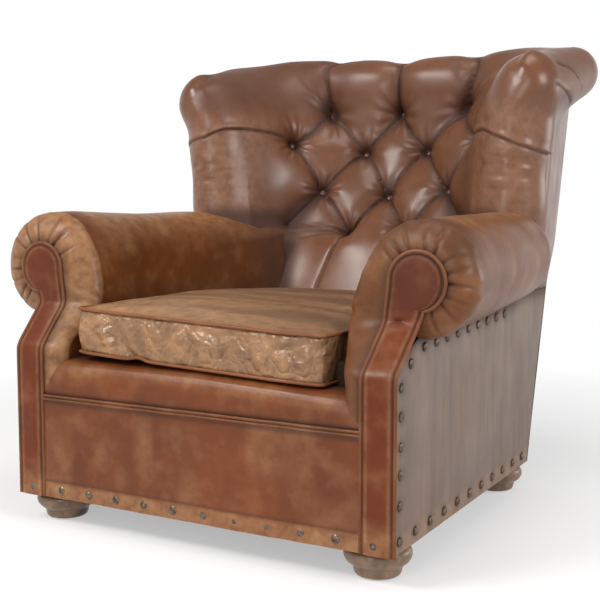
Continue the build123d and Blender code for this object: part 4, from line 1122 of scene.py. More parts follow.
def facing_path(z, inner, outer):
    """Line of the cord round the right arm's facing, from the hem over its head to the hem."""
    outline = np.concatenate([np.stack([inner, z], -1), np.stack([outer, z], -1)[-2::-1]])
    ahead, behind = np.roll(outline, -1, axis=0), np.roll(outline, 1, axis=0)
    behind[0] = outline[0] - (outline[1] - outline[0])
    ahead[-1] = outline[-1] + (outline[-1] - outline[-2])
    run = ahead - behind
    run /= np.maximum(np.hypot(run[:, :1], run[:, 1:]), 1e-9)
    x, z = (outline + np.stack([-run[:, 1], run[:, 0]], -1) * 0.0030).T
    return np.stack([x, facing_y(z) - 0.0006, z], -1)


class CHAIR_OT_facings(bpy.types.Operator):
    """Keyhole facings on the arm fronts with a welt round each"""

    bl_idname = "chair.facings"
    bl_label = "Arm facings"

    def execute(self, context):
        radius = context.scene.chair_sizes.welt_radius
        z = facing_heights()
        inner, outer = facing_sides(z)
        for side, seed, tense in (("right", 71, 1.0), ("left", 83, 0.35)):
            front, marks = facing_front(z, inner, outer, seed, tense)
            path = facing_path(z, inner, outer)
            name = f"facing_skin_{side}"
            piece = place_piece(name, side_slab(name, front, -LEATHER, marks, side), "facing_leather",
                                replaces=(f"arm_facing_{side}",))
            place_cord(f"facing_cord_{side}", [mirrored(path) if side == "left" else path], radius, 0.004,
                       "welt_leather", f"facing_welt_{side}")
        return {"FINISHED"}


# Seat
CUSHION_FRONT, CUSHION_REAR, CUSHION_LOW, CUSHION_EDGE = -0.510, 0.183, 0.3445, 0.431
CUSHION_MIDDLE = np.array([0.0, -0.16, 0.39])
SWELL_FRAMES, SWELL_CAP = 18, 0.006


def cushion_plan(u, v):
    """Place in plan for shares of the cushion's width and depth, with eased corners."""
    y = CUSHION_FRONT + (CUSHION_REAR - CUSHION_FRONT) * (v + 1) / 2
    half = np.minimum(wall_x(y), SEAT_HALF) - 0.003 - sleeve_bulge(y, 0.462) * np.where(u > 0, 1.0, 0.62)
    corner = (np.abs(u) ** 9) * (np.abs(v) ** 9)
    x = u * half * (1 - 0.030 * corner)
    pull = 0.0045 * (1 - u**2) * np.abs(v) ** 6
    return x, y - np.sign(v) * (0.012 * corner) - np.sign(v) * pull * 0.4


def cushion_cage(cols, rows, sides):
    """Closed cage of the cushion. Gives its points, faces and the rings of the two piped seams."""
    u, v = np.meshgrid(np.linspace(-1, 1, cols), np.linspace(-1, 1, rows))
    x, y = cushion_plan(u, v)
    crown = (1 - np.abs(u) ** 3.0) * (1 - np.abs(v) ** 3.0)
    top = np.stack([x, y, CUSHION_EDGE + 0.021 * crown], -1)
    low = np.stack([x, y, np.full_like(x, CUSHION_LOW)], -1)
    points = [top.reshape(-1, 3), low.reshape(-1, 3)]
    count = rows * cols
    faces = grid_faces(rows, cols) + [face[::-1] for face in grid_faces(rows, cols, count)]
    edge = rim(rows, cols)
    upper, lower = top.reshape(-1, 3)[edge], low.reshape(-1, 3)[edge]
    rings = [edge]
    for k in range(1, sides):
        share = k / sides
        ring = upper + (lower - upper) * share
        away = ring - CUSHION_MIDDLE
        away[:, 2] = 0
        away /= np.linalg.norm(away, axis=1, keepdims=True)
        ring = ring + away * 0.0035 * sin(pi * share)
        rings.append([2 * count + (k - 1) * len(edge) + i for i in range(len(edge))])
        points.append(ring)
    rings.append([i + count for i in edge])
    for a, b in zip(rings, rings[1:]):
        faces += [[a[i], a[(i + 1) % len(a)], b[(i + 1) % len(a)], b[i]] for i in range(len(a))]
    return np.concatenate(points), faces, rings


def puff_up(points, faces, cap):
    """Swell a cage with a cloth simulation and keep each point within a cap of where it was."""
    mesh = bpy.data.meshes.new("cushion_cage")
    mesh.from_pydata(points.tolist(), [], faces)
    cage = bpy.data.objects.new("cushion_cage", mesh)
    scene = bpy.context.scene
    scene.collection.objects.link(cage)
    cloth = cage.modifiers.new("swell", "CLOTH")
    cloth.settings.use_pressure = True
    cloth.settings.uniform_pressure_force = 3.0
    cloth.settings.mass = 0.4
    cloth.settings.tension_stiffness = 22.0
    cloth.settings.compression_stiffness = 12.0
    cloth.settings.bending_stiffness = 0.6
    cloth.settings.quality = 4
    cloth.settings.effector_weights.gravity = 0.0
    cloth.point_cache.frame_start = 1
    cloth.point_cache.frame_end = SWELL_FRAMES
    for step in range(1, SWELL_FRAMES + 1):
        scene.frame_set(step)
    swollen = cage.evaluated_get(bpy.context.evaluated_depsgraph_get())
    moved = np.array([vertex.co for vertex in swollen.data.vertices]) - points
    bpy.data.objects.remove(cage)
    scene.frame_set(1)
    length = np.linalg.norm(moved, axis=1, keepdims=True)
    return points + moved * np.minimum(1.0, cap / np.maximum(length, 1e-9))


class CHAIR_OT_cushion(bpy.types.Operator):
    """Loose boxed seat cushion, swollen by a cloth simulation, with piped seams"""

    bl_idname = "chair.cushion"
    bl_label = "Seat cushion"

    def execute(self, context):
        sizes = context.scene.chair_sizes
        cols, rows, sides = 63, 71, 9
        points, faces, rings = cushion_cage(cols, rows, sides)
        points = puff_up(points, faces, SWELL_CAP)
        points[:, 2] = np.maximum(points[:, 2], CUSHION_LOW)
        x, y, z = points.T
        level, boxing = np.zeros(len(points)), np.zeros(len(points))
        for k, ring in enumerate(rings):
            level[ring] = k / (len(rings) - 1)
            boxing[ring] = sin(pi * k / (len(rings) - 1))
        front = fall(y, -0.44, 0.05)
        creases = (soft_noise(x, z, 0.030, 0.055, 11)
                   + 0.7 * soft_noise(x + 0.5 * z, z - 0.4 * x, 0.016, 0.05, 12))
        y += -front * boxing * 0.0042 * creases
        side = rise(np.abs(x), 0.27, 0.03) * (1 - front)
        x += np.sign(x) * side * boxing * 0.002 * soft_noise(y, z, 0.04, 0.06, 13)
        top = np.zeros(len(points))
        top[:rows * cols] = 1.0
        top[rings[0]] = 0.2
        slack = 0.0022 * bell(y + 0.46, 0.09) * soft_noise(x + 0.4 * y, y, 0.05, 0.09, 15)
        z += top * (0.0030 * soft_noise(x, y, 0.17, 0.13, 14) + slack)
        bottom_kink = bell(x + 0.128, 0.017) * front * level
        z += 0.006 * bottom_kink
        z += seat_tilt(x, y)
        points = np.stack([x, y, z], -1)
        upper = np.arange(len(points)) < rows * cols
        streaks = soft_noise(y, x, 0.030, 0.22, 16)
        # Lighter streaks on the top come from rubbing; the boxing's lighter creases are partly rubbing and
        # partly painted highlight.
        wear_and_light = np.where(upper, 0.30 + 0.30 * streaks, 0.34 + 0.45 * np.clip(creases * 0.8, 0, 1))
        rear = rise(y, -0.42, 0.45)
        # Painted shade towards the rear, in the boxing's creases and along the right side; the top's darker
        # streaks are the leather's own.
        fold = np.where(upper, 0.34 * rear + 0.22 * np.clip(-streaks, 0, 1), 0.32 * np.clip(-creases, 0, 1))
        fold = np.maximum(fold, 0.45 * rise(x, 0.19, 0.09) * (1 - 0.5 * front))
        crinkle = np.where(upper, 0.10 + 0.35 * bell(y + 0.50, 0.03), 0.55 + 0.45 * front)
        marks = {"fold": fold, "wear_and_light": np.clip(wear_and_light, 0, 1), "crinkle": crinkle}
        mesh = new_mesh("cushion_skin", points, faces, marks)
        piece = place_piece("cushion_skin", mesh, "cushion_leather",
                            body="cushion", replaces=("seat_cushion_cover", "seat_cushion_core"))
        finer = piece.modifiers.new("finer", "SUBSURF")
        finer.levels = finer.render_levels = 1
        centre = points.mean(axis=0)
        for name, ring, node in (("cushion_cord_top", rings[0], "cushion_piping_top"),
                                 ("cushion_cord_bottom", rings[-1], "cushion_piping_bottom")):
            path = points[ring]
            out = path - centre
            out[:, 2] = 0
            path = path + out / np.linalg.norm(out, axis=1, keepdims=True) * 0.0015
            place_cord(name, [path], sizes.welt_radius, 0.006, "piping_leather", node, "cushion", closed=True)
        return {"FINISHED"}


class CHAIR_OT_zip(bpy.types.Operator):
    """Zip along the rear of the cushion: tape, teeth and slider with its pull"""

    bl_idname = "chair.zip"
    bl_label = "Cushion zip"

    def execute(self, context):
        low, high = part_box("cushion_zip")
        x = np.linspace(low.x, high.x, 60)
        z = np.linspace(low.z, high.z, 9)
        grid_x, grid_z = np.meshgrid(x, z)
        wave = 0.0004 * soft_noise(grid_x, grid_z, 0.03, 0.02, 31)
        tape = np.stack([grid_x, high.y - 0.0004 + wave, grid_z], -1)
        mesh = slab_mesh("zip_tape", tape, -0.001)
        place_piece("zip_tape", mesh, "zip_cloth", "cushion", ("cushion_zip",))
        middle = (low.z + high.z) / 2
        places = [(tooth, high.y, middle + (0.0009 if k % 2 else -0.0009))
                  for k, tooth in enumerate(np.arange(low.x + 0.004, high.x - 0.004, 0.0028))]
        carrier = point_carrier("tooth_places", places, [(0, 1, 0)] * len(places))
        mesh = grown_mesh("zip_teeth", carrier, teeth_tree(), {
            "Size": (0.0016, 0.0014, 0.0036), "Material": finish_of("zip_brass")})
        place_piece("zip_teeth", mesh, "zip_brass", "cushion")
        low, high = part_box("zip_slider")
        shape = bmesh.new()
        middle = (low + high) / 2
        for size, shift in (((0.016, 0.0024, 0.008), (0, -0.0004, 0)),
                            ((0.005, 0.0012, 0.0035), (0.001, 0.0012, 0))):
            made = bmesh.ops.create_cube(shape, size=1.0)
            bmesh.ops.scale(shape, vec=size, verts=made["verts"])
            bmesh.ops.translate(shape, vec=middle + Vector(shift), verts=made["verts"])
        bmesh.ops.bevel(shape, geom=shape.edges[:], offset=0.0005, segments=2, affect="EDGES")
        mesh = bpy.data.meshes.new("zip_slider_body")
        shape.to_mesh(mesh)
        shape.free()
        place_piece("zip_slider_body", mesh, "zip_brass", "zip_slider", ("zip_slider",))
        return {"FINISHED"}


def dress_seat_roll():
    """Padded roll across the front of the seat."""
    u = np.linspace(-1, 1, 150)[None, :]
    profile_y = [0.003, 0.0015, 0.0008, 0.0015, 0.004, 0.009, 0.018, 0.032, 0.050, 0.078, 0.078]
    profile_z = [0.258, 0.270, 0.290, 0.307, 0.320, 0.330, 0.3365, 0.340, 0.3415, 0.3415, WALL_LOW]
    t = np.linspace(0, 10, 70)
    y, z = np.interp(t, np.arange(11), profile_y), np.interp(t, np.arange(11), profile_z)
    for _ in range(3):
        for line in (y, z):
            line[1:-8] = (line[:-9] + 2 * line[1:-8] + line[2:-7]) / 4
    half = np.interp(z, [0.26, 0.30, 0.335, 0.345], [0.3580, 0.3560, 0.336, 0.324])[:, None]
    y, z, x = y[:, None], z[:, None], u * half
    sag = rise(z, 0.27, 0.05)
    dip = np.minimum(seat_tilt(x, -0.5), 0.0) - 0.0015
    ends = np.abs(u) ** 14
    y = FRONT_Y + y + 0.010 * ends * sag + 0.0012 * soft_noise(x, z, 0.10, 0.04, 51) * sag
    level = z + dip * sag
    # Painted shade along the seam with the front border and over the back of the roll, under the cushion.
    fold = 0.8 * bell(level - BORDER_TOP, 0.006) + 0.8 * smooth_step((y - FRONT_Y - 0.02) / 0.03)
    wear_and_light = 0.35 * bell(z - 0.322, 0.012) * (0.6 + 0.6 * soft_noise(x, level, 0.06, 0.03, 52))
    mesh = pad_mesh("seat_roll_skin", np.stack([x, y, level], -1), [0.0, FRONT_Y + 0.045, 0.29],
                    {"fold": np.clip(fold, 0, 1), "wear_and_light": np.clip(wear_and_light, 0, 1)})
    piece = place_piece("seat_roll_skin", mesh, "front_leather", replaces=("seat_front_roll",))


def dress_front_border():
    """Plain border across the front, gathered a little at its nailed hem."""
    low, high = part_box("front_border")
    x, z = np.meshgrid(np.linspace(low.x - 0.010, high.x + 0.010, 190), np.linspace(low.z, high.z, 64))
    waves = 0.0016 * soft_noise(x, z, 0.11, 0.09, 53) + 0.0007 * soft_noise(x, z, 0.035, 0.06, 54)
    hem = bell(z - low.z - 0.034, 0.0028)
    gather = 0.0011 * bell(z - low.z - 0.019, 0.016) * np.cos((x - NAIL_PITCH / 2) / NAIL_PITCH * 2 * pi)
    inset = np.minimum((high.z - z) / 0.012, 1.0)
    y = low.y + 0.0006 + (waves + 0.0005) * inset + 0.0010 * hem - gather * 0.8
    front = np.stack([x, y, z], -1)
    # Painted shade in the fold at the nailed hem and under the welt.
    fold = np.clip(0.45 * hem + 0.55 * bell(high.z - 0.016 - z, 0.004), 0, 1)
    wear_and_light = 0.5 * fall(z, low.z + 0.036, 0.012) + 0.30 * np.clip(soft_noise(x, z, 0.05, 0.10, 55), 0, 1)
    mesh = slab_mesh("front_border_skin", front, -LEATHER, {"fold": fold, "wear_and_light": np.clip(wear_and_light, 0, 1)})
    piece = place_piece("front_border_skin", mesh, "front_leather", replaces=("front_border",))


def dress_border_welt(radius):
    """Two cords along the top of the front border."""
    low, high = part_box("front_border_welt")
    x = np.linspace(low.x - 0.006, high.x + 0.006, 120)
    depth, wander = np.full_like(x, high.y - 0.0016), 0.0005 * soft_noise(x, 0.0, 0.05, 0.1, 56)
    lines = [np.stack([x, depth, level + wander], -1) for level in (high.z - 0.0024, low.z + 0.0028)]
    place_cord("front_border_cord", lines, radius * 0.82, 0.006, "welt_leather", "front_border_welt")


def dress_deck():
    """Padded deck that carries the cushion, lower on its right as the cushion is."""
    low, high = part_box("seat_deck")
    u, y = np.meshgrid(np.linspace(-1, 1, 60), np.linspace(low.y, high.y - 0.002, 64))
    x = u * (wall_x(y) - 0.0045)
    lift = (1 - np.abs(u) ** 6) * (1 - np.abs((y - low.y) / (high.y - low.y) * 2 - 1) ** 6)
    dip = np.minimum(seat_tilt(x, y), 0.0)
    z = DECK_TOP - 0.012 + 0.011 * lift + dip + 0.0012 * soft_noise(x, y, 0.12, 0.12, 57) * lift - 0.0013
    front = np.stack([x, y, np.minimum(z, DECK_TOP - 0.0005)], -1)
    mesh = slab_mesh("seat_deck_skin", front, -0.05)
    piece = place_piece("seat_deck_skin", mesh, "deck_cloth", replaces=("seat_deck",))


class CHAIR_OT_seat(bpy.types.Operator):
    """Seat deck, the padded front roll, the front border and its doubled welt"""

    bl_idname = "chair.seat"
    bl_label = "Seat front and deck"

    def execute(self, context):
        dress_seat_roll()
        dress_front_border()
        dress_border_welt(context.scene.chair_sizes.welt_radius)
        dress_deck()
        return {"FINISHED"}


# Outside panels
def side_nail_places():
    """Nails of the right side: along the hem, up the front edge and under the roll."""
    x, z = BODY_HALF, SIDE_NAIL_Z
    hem = [(x, y, z) for y in np.arange(FRONT_Y + 0.028, float(back_plane(z)) - 0.012, NAIL_PITCH)]
    edge = [(x, FRONT_Y + 0.027 + 0.0010 * k, z) for k, z in enumerate((0.140, 0.193, 0.241, 0.293, 0.342))]
    edge.append((x, -0.452, 0.378))
    under = [(x, y, 0.400 + 0.018 * (y + 0.392) / 0.45) for y in np.arange(-0.392, 0.075, 0.0555)]
    return hem + edge + under


def dress_outside_arm(side, seed):
    """Outside panel of an arm, dimpled by its nails."""
    u, v = np.meshgrid(np.linspace(0, 1, 130), np.linspace(0, 1, 76))
    top = np.interp(FRONT_Y + 0.75 * u, [FRONT_Y, -0.505, -0.47, -0.43, 0.0, 0.06, 0.30],
                    [KICK_Z, 0.398, 0.424, 0.430, 0.440, 0.453, 0.453])
    z = HEM_Z + (top - HEM_Z) * v
    start = facing_y(z) + 0.003
    y = start + (back_plane(z) - 0.003 - start) * u
    bulge = 0.0022 * np.sin(pi * v) ** 0.6 * np.sin(pi * u) ** 0.5
    waves = 0.0016 * soft_noise(y, z, 0.09, 0.22, seed) * np.sin(pi * np.clip(v, 0.02, 0.98))
    dent, near = np.zeros_like(y), np.ones_like(y)
    for _, nail_y, nail_z in side_nail_places():
        gap = np.hypot(y - nail_y, z - nail_z)
        near = np.minimum(near, gap)
        dent += 0.0014 * bell(gap, 0.014)
    front = np.stack([BODY_HALF - 0.0008 + bulge + waves - dent, y, z], -1)
    # Painted shade round the dimples of the nails and under the roll of the arm.
    fold = 0.55 * bell(near, 0.013) + 0.75 * bell(top - z, 0.022)
    wear_and_light = 0.45 * fall(z, 0.10, 0.02) + 0.3 * fall(y, FRONT_Y + 0.02, 0.01)
    name, marks = f"outside_arm_skin_{side}", {"fold": np.clip(fold, 0, 1), "wear_and_light": np.clip(wear_and_light, 0, 1)}
    piece = place_piece(name, side_slab(name, front, LEATHER, marks, side), "side_leather",
                        replaces=(f"outside_arm_{side}",))


def dress_outside_wing(side, seed):
    """Outside panel of a wing, from the arm up to the roll, tucked in along its front edge."""
    z, t = np.meshgrid(np.linspace(WING_PANEL_LOW, 0.936, 64), np.linspace(0, 1, 70), indexing="ij")
    ease = rise(z, WING_PANEL_LOW, FLARE_RISE)
    wrapped = 0.046 * ease
    front_y, rear_y = 0.092 + (WING_Y - 0.092) * ease, back_plane(z) - 0.003
    y = front_y - wrapped + (rear_y - front_y + wrapped) * t
    round_x = np.sqrt(np.maximum(WING_R**2 - np.maximum(WING_Y - y, 0) ** 2, 0)) - 0.0045
    front_x = BODY_HALF - 0.0016 + (wing_middle(z) + round_x - BODY_HALF) * ease
    rear_x = BODY_HALF - 0.0016 + BACK_FLARE * ease
    run = np.clip((y - front_y) / (rear_y - front_y), 0, 1)
    swell = 0.002 * np.sin(pi * run) * ease
    waves = 0.0010 * soft_noise(y, z, 0.08, 0.12, seed) * np.sin(pi * t)
    x = front_x + (rear_x - front_x) * run + swell + waves
    x = x - 0.0105 * ease * bell(t, 0.09)
    front = np.stack([x, y, z], -1)
    name = f"outside_wing_skin_{side}"
    # Painted shade along the lower edge, where the panel meets the arm.
    marks = {"fold": 0.7 * bell(z - WING_PANEL_LOW, 0.006), "wear_and_light": np.zeros_like(z)}
    piece = place_piece(name, side_slab(name, front, -LEATHER, marks, side), "back_leather",
                        replaces=(f"outside_wing_{side}",))


def dress_outside_back():
    """Outside back, a little wider above the arms."""
    v, u = np.meshgrid(np.linspace(0, 1, 112), np.linspace(-1, 1, 90), indexing="ij")
    z = HEM_Z + (0.938 - 0.016 * np.abs(u) ** 8 - HEM_Z) * v
    x = u * (BODY_HALF - 0.0005 + BACK_FLARE * rise(z, WING_PANEL_LOW, FLARE_RISE))
    swell = 0.0035 * (1 - np.abs(u) ** 4) * np.sin(pi * np.clip((z - HEM_Z) / 0.854, 0, 1)) ** 0.6
    y = back_plane(z) - 0.0008 + swell * 0.5 + 0.0014 * soft_noise(x, z, 0.10, 0.16, 68)
    front = np.stack([x, y, z], -1)
    edge = np.minimum((1 - np.abs(u)) * BODY_HALF, z - HEM_Z)
    marks = {"fold": 0.35 * bell(edge, 0.02), "wear_and_light": 0.25 * np.clip(soft_noise(x, z, 0.12, 0.2, 69), 0, 1)}
    mesh = slab_mesh("outside_back_skin", front, LEATHER, marks)
    piece = place_piece("outside_back_skin", mesh, "side_leather", replaces=("outside_back",))


class CHAIR_OT_panels(bpy.types.Operator):
    """Outside panels of the arms, wings and back"""

    bl_idname = "chair.panels"
    bl_label = "Outside panels"

    def execute(self, context):
        for side, seed in (("right", 61), ("left", 66)):
            dress_outside_arm(side, seed)
            dress_outside_wing(side, seed + 2)
        dress_outside_back()
        return {"FINISHED"}


class CHAIR_OT_nails(bpy.types.Operator):
    """Domed nails along the front, the sides and the back"""

    bl_idname = "chair.nails"
    bl_label = "Nails"

    def execute(self, context):
        sizes = context.scene.chair_sizes
        front = [(k * NAIL_PITCH, FRONT_Y + 0.0002, FRONT_NAIL_Z) for k in np.arange(-4.5, 5.0)]
        front += [(side * 0.384, FRONT_Y - 0.0028, FRONT_NAIL_Z) for side in (-1, 1)]
        right = side_nail_places()
        left = [(-x, y, z) for x, y, z in right]
        back = [(x, float(back_plane(BACK_NAIL_Z)), BACK_NAIL_Z)
                for x in np.linspace(-BACK_NAIL_X, BACK_NAIL_X, 13)]
        for side in (-1, 1):
            back += [(side * BACK_NAIL_X, float(back_plane(z)), z) for z in np.linspace(0.145, 0.79, 11)]
        slope = tuple(Vector((0, 1, -BACK_RAKE)).normalized())
        # The side and back rows get the darker copy of the brass, as painted shade.
        rows = (("front_nail_heads", front, (0, -1, 0), "nail_brass", "front_nails"),
                ("side_nail_heads_right", right, (1, 0, 0), "nail_dark", "side_nails_right"),
                ("side_nail_heads_left", left, (-1, 0, 0), "nail_dark", "side_nails_left"),
                ("back_nail_heads", back, slope, "nail_dark", "back_nails"))
        for seed, (name, places, facing, finish, node) in enumerate(rows, 7):
            place_heads(name, places, [facing] * len(places), sizes.nail_radius, sizes.nail_height, 0.05, seed,
                        finish, node)
        return {"FINISHED"}


class CHAIR_OT_feet(bpy.types.Operator):
    """Turned bun feet"""

    bl_idname = "chair.feet"
    bl_label = "Bun feet"

    def execute(self, context):
        radius = np.array([0.0, 0.036, 0.0405, 0.0425, 0.0440, 0.0450, 0.0462, 0.0500, 0.0560, 0.0600,
                           0.0618, 0.0610, 0.0580, 0.0530, 0.0480, 0.0440, 0.0])
        height = np.array([0.0020, 0.0020, 0.0032, 0.0070, 0.0130, 0.0180, 0.0205, 0.0225, 0.0270, 0.0330,
                           0.0400, 0.0460, 0.0510, 0.0550, 0.0580, 0.0598, 0.0598])
        steps = np.linspace(0, len(radius) - 1, 61)
        radius = np.interp(steps, np.arange(len(radius)), radius)
        height = np.interp(steps, np.arange(len(height)), height)
        for line in (radius, radius, height, height):
            line[1:-1] = (line[:-2] + 2 * line[1:-1] + line[2:]) / 4
        turn = np.linspace(0, 2 * pi, 65)
        for place in ("front_left", "front_right", "rear_left", "rear_right"):
            low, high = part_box(f"foot_{place}")
            centre = (low + high) / 2
            points = np.stack([centre.x + np.outer(radius, np.cos(turn)),
                               centre.y + np.outer(radius, np.sin(turn)),
                               np.outer(height, np.ones_like(turn))], -1)
            name = f"bun_{place}"
            mesh = new_mesh(name, points, grid_faces(*points.shape[:2]), {})
            place_piece(name, mesh, "bun_wood", replaces=(f"foot_{place}",))
        return {"FINISHED"}


class CHAIR_OT_finishes(bpy.types.Operator):
    """Finishes of the chair, and those of the frame pieces that stay as they are"""

    bl_idname = "chair.finishes"
    bl_label = "Finishes"

    def execute(self, context):
        tint = context.scene.chair_colours
        # The colour of creases is painted shade; the colour of rubbing also serves as painted light.
        dark, worn_and_lit, brass = tint.crease_shade, tint.worn_and_lit, tint.nail
        leather_finish("arm_leather", tint.arm, dark, worn_and_lit, 0.38, shine=0.30)
        leather_finish("back_leather", tint.back, dark, tint.rubbed_and_lit, 0.30, patchy=0.7, crackle=0.06, shine=0.36,
                       grain=0.015)
        # The buttons are less than half as light as the back's leather: painted shade of their pits.
        leather_finish("button_leather", shade(tint.back, 0.45), dark, dark, 0.34)
        leather_finish("cushion_leather", tint.cushion, dark, shade(worn_and_lit, 1.1), 0.46, streak=(0.35, 1, 1),
                       patchy=1.15, crackle=0.2, shine=0.45, crumpled=True)
        leather_finish("front_leather", tint.front, dark, worn_and_lit, 0.35, patchy=0.9, crackle=0.2, shine=0.30)
        leather_finish("facing_leather", tint.facing, dark, worn_and_lit, 0.34, patchy=0.8, shine=0.22)
        leather_finish("side_leather", tint.side, dark, shade(worn_and_lit, 0.85), 0.48, streak=(1, 2.6, 0.35),
                       patchy=0.9, shine=0.42)
        leather_finish("welt_leather", tint.welt, dark, worn_and_lit, 0.40, shine=0.25)
        leather_finish("piping_leather", shade(tint.welt, 1.3), dark, worn_and_lit, 0.42, shine=0.25)
        wood_finish("bun_wood", tint.foot, 0.25, (1, 1, 0.3))
        wood_finish("frame_wood", (0.42, 0.28, 0.16), 0.5, (1, 0.15, 0.6))
        metal_finish("nail_brass", brass, shade(brass, 0.35), 0.32, 160.0)
        # Darker copy of the nail brass for the side and back nails: painted shade, while the front nails keep
        # the lit brass.
        metal_finish("nail_dark", shade(brass, 0.90), shade(brass, 0.50), 0.50, 160.0)
        metal_finish("zip_brass", shade(brass, 1.1), shade(brass, 0.5), 0.3, 300.0)
        metal_finish("spring_wire", (0.45, 0.45, 0.46), (0.20, 0.19, 0.18), 0.3, 90.0)
        woven_finish("zip_cloth", (0.05, 0.03, 0.02), 900.0, 0.8)
        # The deck cloth is made nearly black so that the gaps round the cushion look shaded: painted shade.
        woven_finish("deck_cloth", (0.030, 0.018, 0.011), 500.0, 0.8)
        woven_finish("dust_cloth", (0.012, 0.012, 0.013), 700.0, 0.85)
        woven_finish("web_cloth", (0.30, 0.21, 0.11), 300.0, 0.8)
        plastic_finish("glide_plastic", (0.03, 0.03, 0.03))
        plastic_finish("clip_plastic", (0.7, 0.7, 0.68))
        by_slot = {"frame_wood": "frame_wood", "spring_steel": "spring_wire", "glide_plastic": "glide_plastic",
                   "clip_plastic": "clip_plastic", "dust_cloth": "dust_cloth", "webbing": "web_cloth"}
        for part in frame["record"]["subparts"]:
            if part["material_slot"] in by_slot:
                mesh = frame["nodes"][part["node"]].data
                mesh.materials.clear()
                mesh.materials.append(finish_of(by_slot[part["material_slot"]]))
        return {"FINISHED"}


def soft_lamp(name, place, target, size, power, colour):
    """Large soft lamp that looks at a target."""
    lamp = bpy.data.lights.new(name, "AREA")
    lamp.shape = "RECTANGLE"
    lamp.size, lamp.size_y = size
    lamp.energy = power
    lamp.color = colour
    holder = bpy.data.objects.new(name, lamp)
    holder.location = place
    holder.rotation_euler = (Vector(target) - Vector(place)).to_track_quat("-Z", "Y").to_euler()
    bpy.context.scene.collection.objects.link(holder)


def seen_plainly(tree):
    """One where the camera, a gloss or a glass ray looks, and nothing for the light on the object."""
    path = tree.nodes.new("ShaderNodeLightPath").outputs
    seen = reckon(tree, "MAXIMUM", path["Is Camera Ray"], path["Is Glossy Ray"])
    return reckon(tree, "MAXIMUM", seen, path["Is Transmission Ray"])


def end_in_two(tree, output, share, lit, seen):
    """End a tree in one shader for the light that falls and, by a share, another for what is seen."""
    factor = reckon(tree, "MULTIPLY", seen_plainly(tree), share)
    mix = in_turn(tree, tree.nodes.new("ShaderNodeMixShader"), factor, lit.outputs[0], seen.outputs[0])
    add_node(tree, output, Surface=mix)


# Lamps as (name, place, target, size, power, colour)
LAMPS = (
    ("key_lamp", (-1.3, -2.3, 2.6), (0, 0, 0.5), (1.3, 1.0), 76, (1.0, 0.98, 0.95)),
    ("front_lamp", (0.35, -3.0, 1.25), (0, 0, 0.5), (0.7, 1.1), 18, (1.0, 0.98, 0.96)),
    ("top_lamp", (0.5, -0.2, 3.0), (0, 0, 0.5), (1.5, 1.1), 24, (1.0, 0.99, 0.97)),
    ("side_lamp", (2.9, -0.9, 1.75), (0, 0, 0.5), (1.0, 1.0), 44, (0.97, 0.98, 1.0)),
    ("rim_lamp", (2.3, 1.7, 0.9), (0.3, 0, 0.5), (1.0, 0.8), 14, (1.0, 0.99, 0.97)),
)
CAMERA_PLACE, CAMERA_LENS = (1.0986, -2.0567, 0.6449), 61.49
CAMERA_DIP, CAMERA_TURN = radians(5.196), radians(29.248)


class CHAIR_OT_stage(bpy.types.Operator):
    """Pale floor, soft studio lamps and the camera"""

    bl_idname = "chair.stage"
    bl_label = "Stage"

    def execute(self, context):
        scene = context.scene
        scene.view_settings.view_transform = "Standard"
        scene.world = scene.world or bpy.data.worlds.new("studio")
        scene.world.use_nodes = True
        tree = scene.world.node_tree
        tree.nodes.clear()
        room = add_node(tree, "ShaderNodeBackground", Color=(1, 1, 1, 1), Strength=0.36)
        white = add_node(tree, "ShaderNodeBackground", Color=(1, 1, 1, 1), Strength=1.0)
        way = tree.nodes.new("ShaderNodeTexCoord").outputs["Generated"]
        height = add_node(tree, "ShaderNodeSeparateXYZ", Vector=way).outputs["Z"]
        end_in_two(tree, "ShaderNodeOutputWorld", remap(tree, height, 0.22, 0.60, 1.0, 0.0), room, white)

        mesh = bpy.data.meshes.new("floor")
        mesh.from_pydata([(-9, -9, 0), (9, -9, 0), (9, 9, 0), (-9, 9, 0)], [], [[0, 1, 2, 3]])
        floor = bpy.data.objects.new("floor", mesh)
        scene.collection.objects.link(floor)
        pale = bpy.data.materials.new("pale_floor")
        mesh.materials.append(pale)
        pale.use_nodes = True
        tree = pale.node_tree
        tree.nodes.clear()
        matt = add_node(tree, "ShaderNodeBsdfDiffuse", Color=(0.86, 0.86, 0.86, 1))
        glow = add_node(tree, "ShaderNodeEmission", Color=(1, 1, 1, 1), Strength=1.0)
        place = tree.nodes.new("ShaderNodeTexCoord").outputs["Object"]
        far = add_node(tree, "ShaderNodeVectorMath", operation="LENGTH")
        tree.links.new(place, far.inputs[0])
        share = remap(tree, far.outputs["Value"], 0.75, 2.0, 0.42, 1.0)
        end_in_two(tree, "ShaderNodeOutputMaterial", share, matt, glow)

        for lamp in LAMPS:
            soft_lamp(*lamp)
        camera = bpy.data.cameras.new("camera")
        camera.sensor_width, camera.lens = 36.0, CAMERA_LENS
        holder = bpy.data.objects.new("camera", camera)
        holder.location = CAMERA_PLACE
        holder.rotation_euler = (pi / 2 - CAMERA_DIP, 0, CAMERA_TURN)
        scene.collection.objects.link(holder)
        scene.camera = holder
        return {"FINISHED"}


def size_property(label, words, size, least=0.001):
    """Length that a user can change."""
    return FloatProperty(name=label, description=words, default=size, min=least, unit="LENGTH")


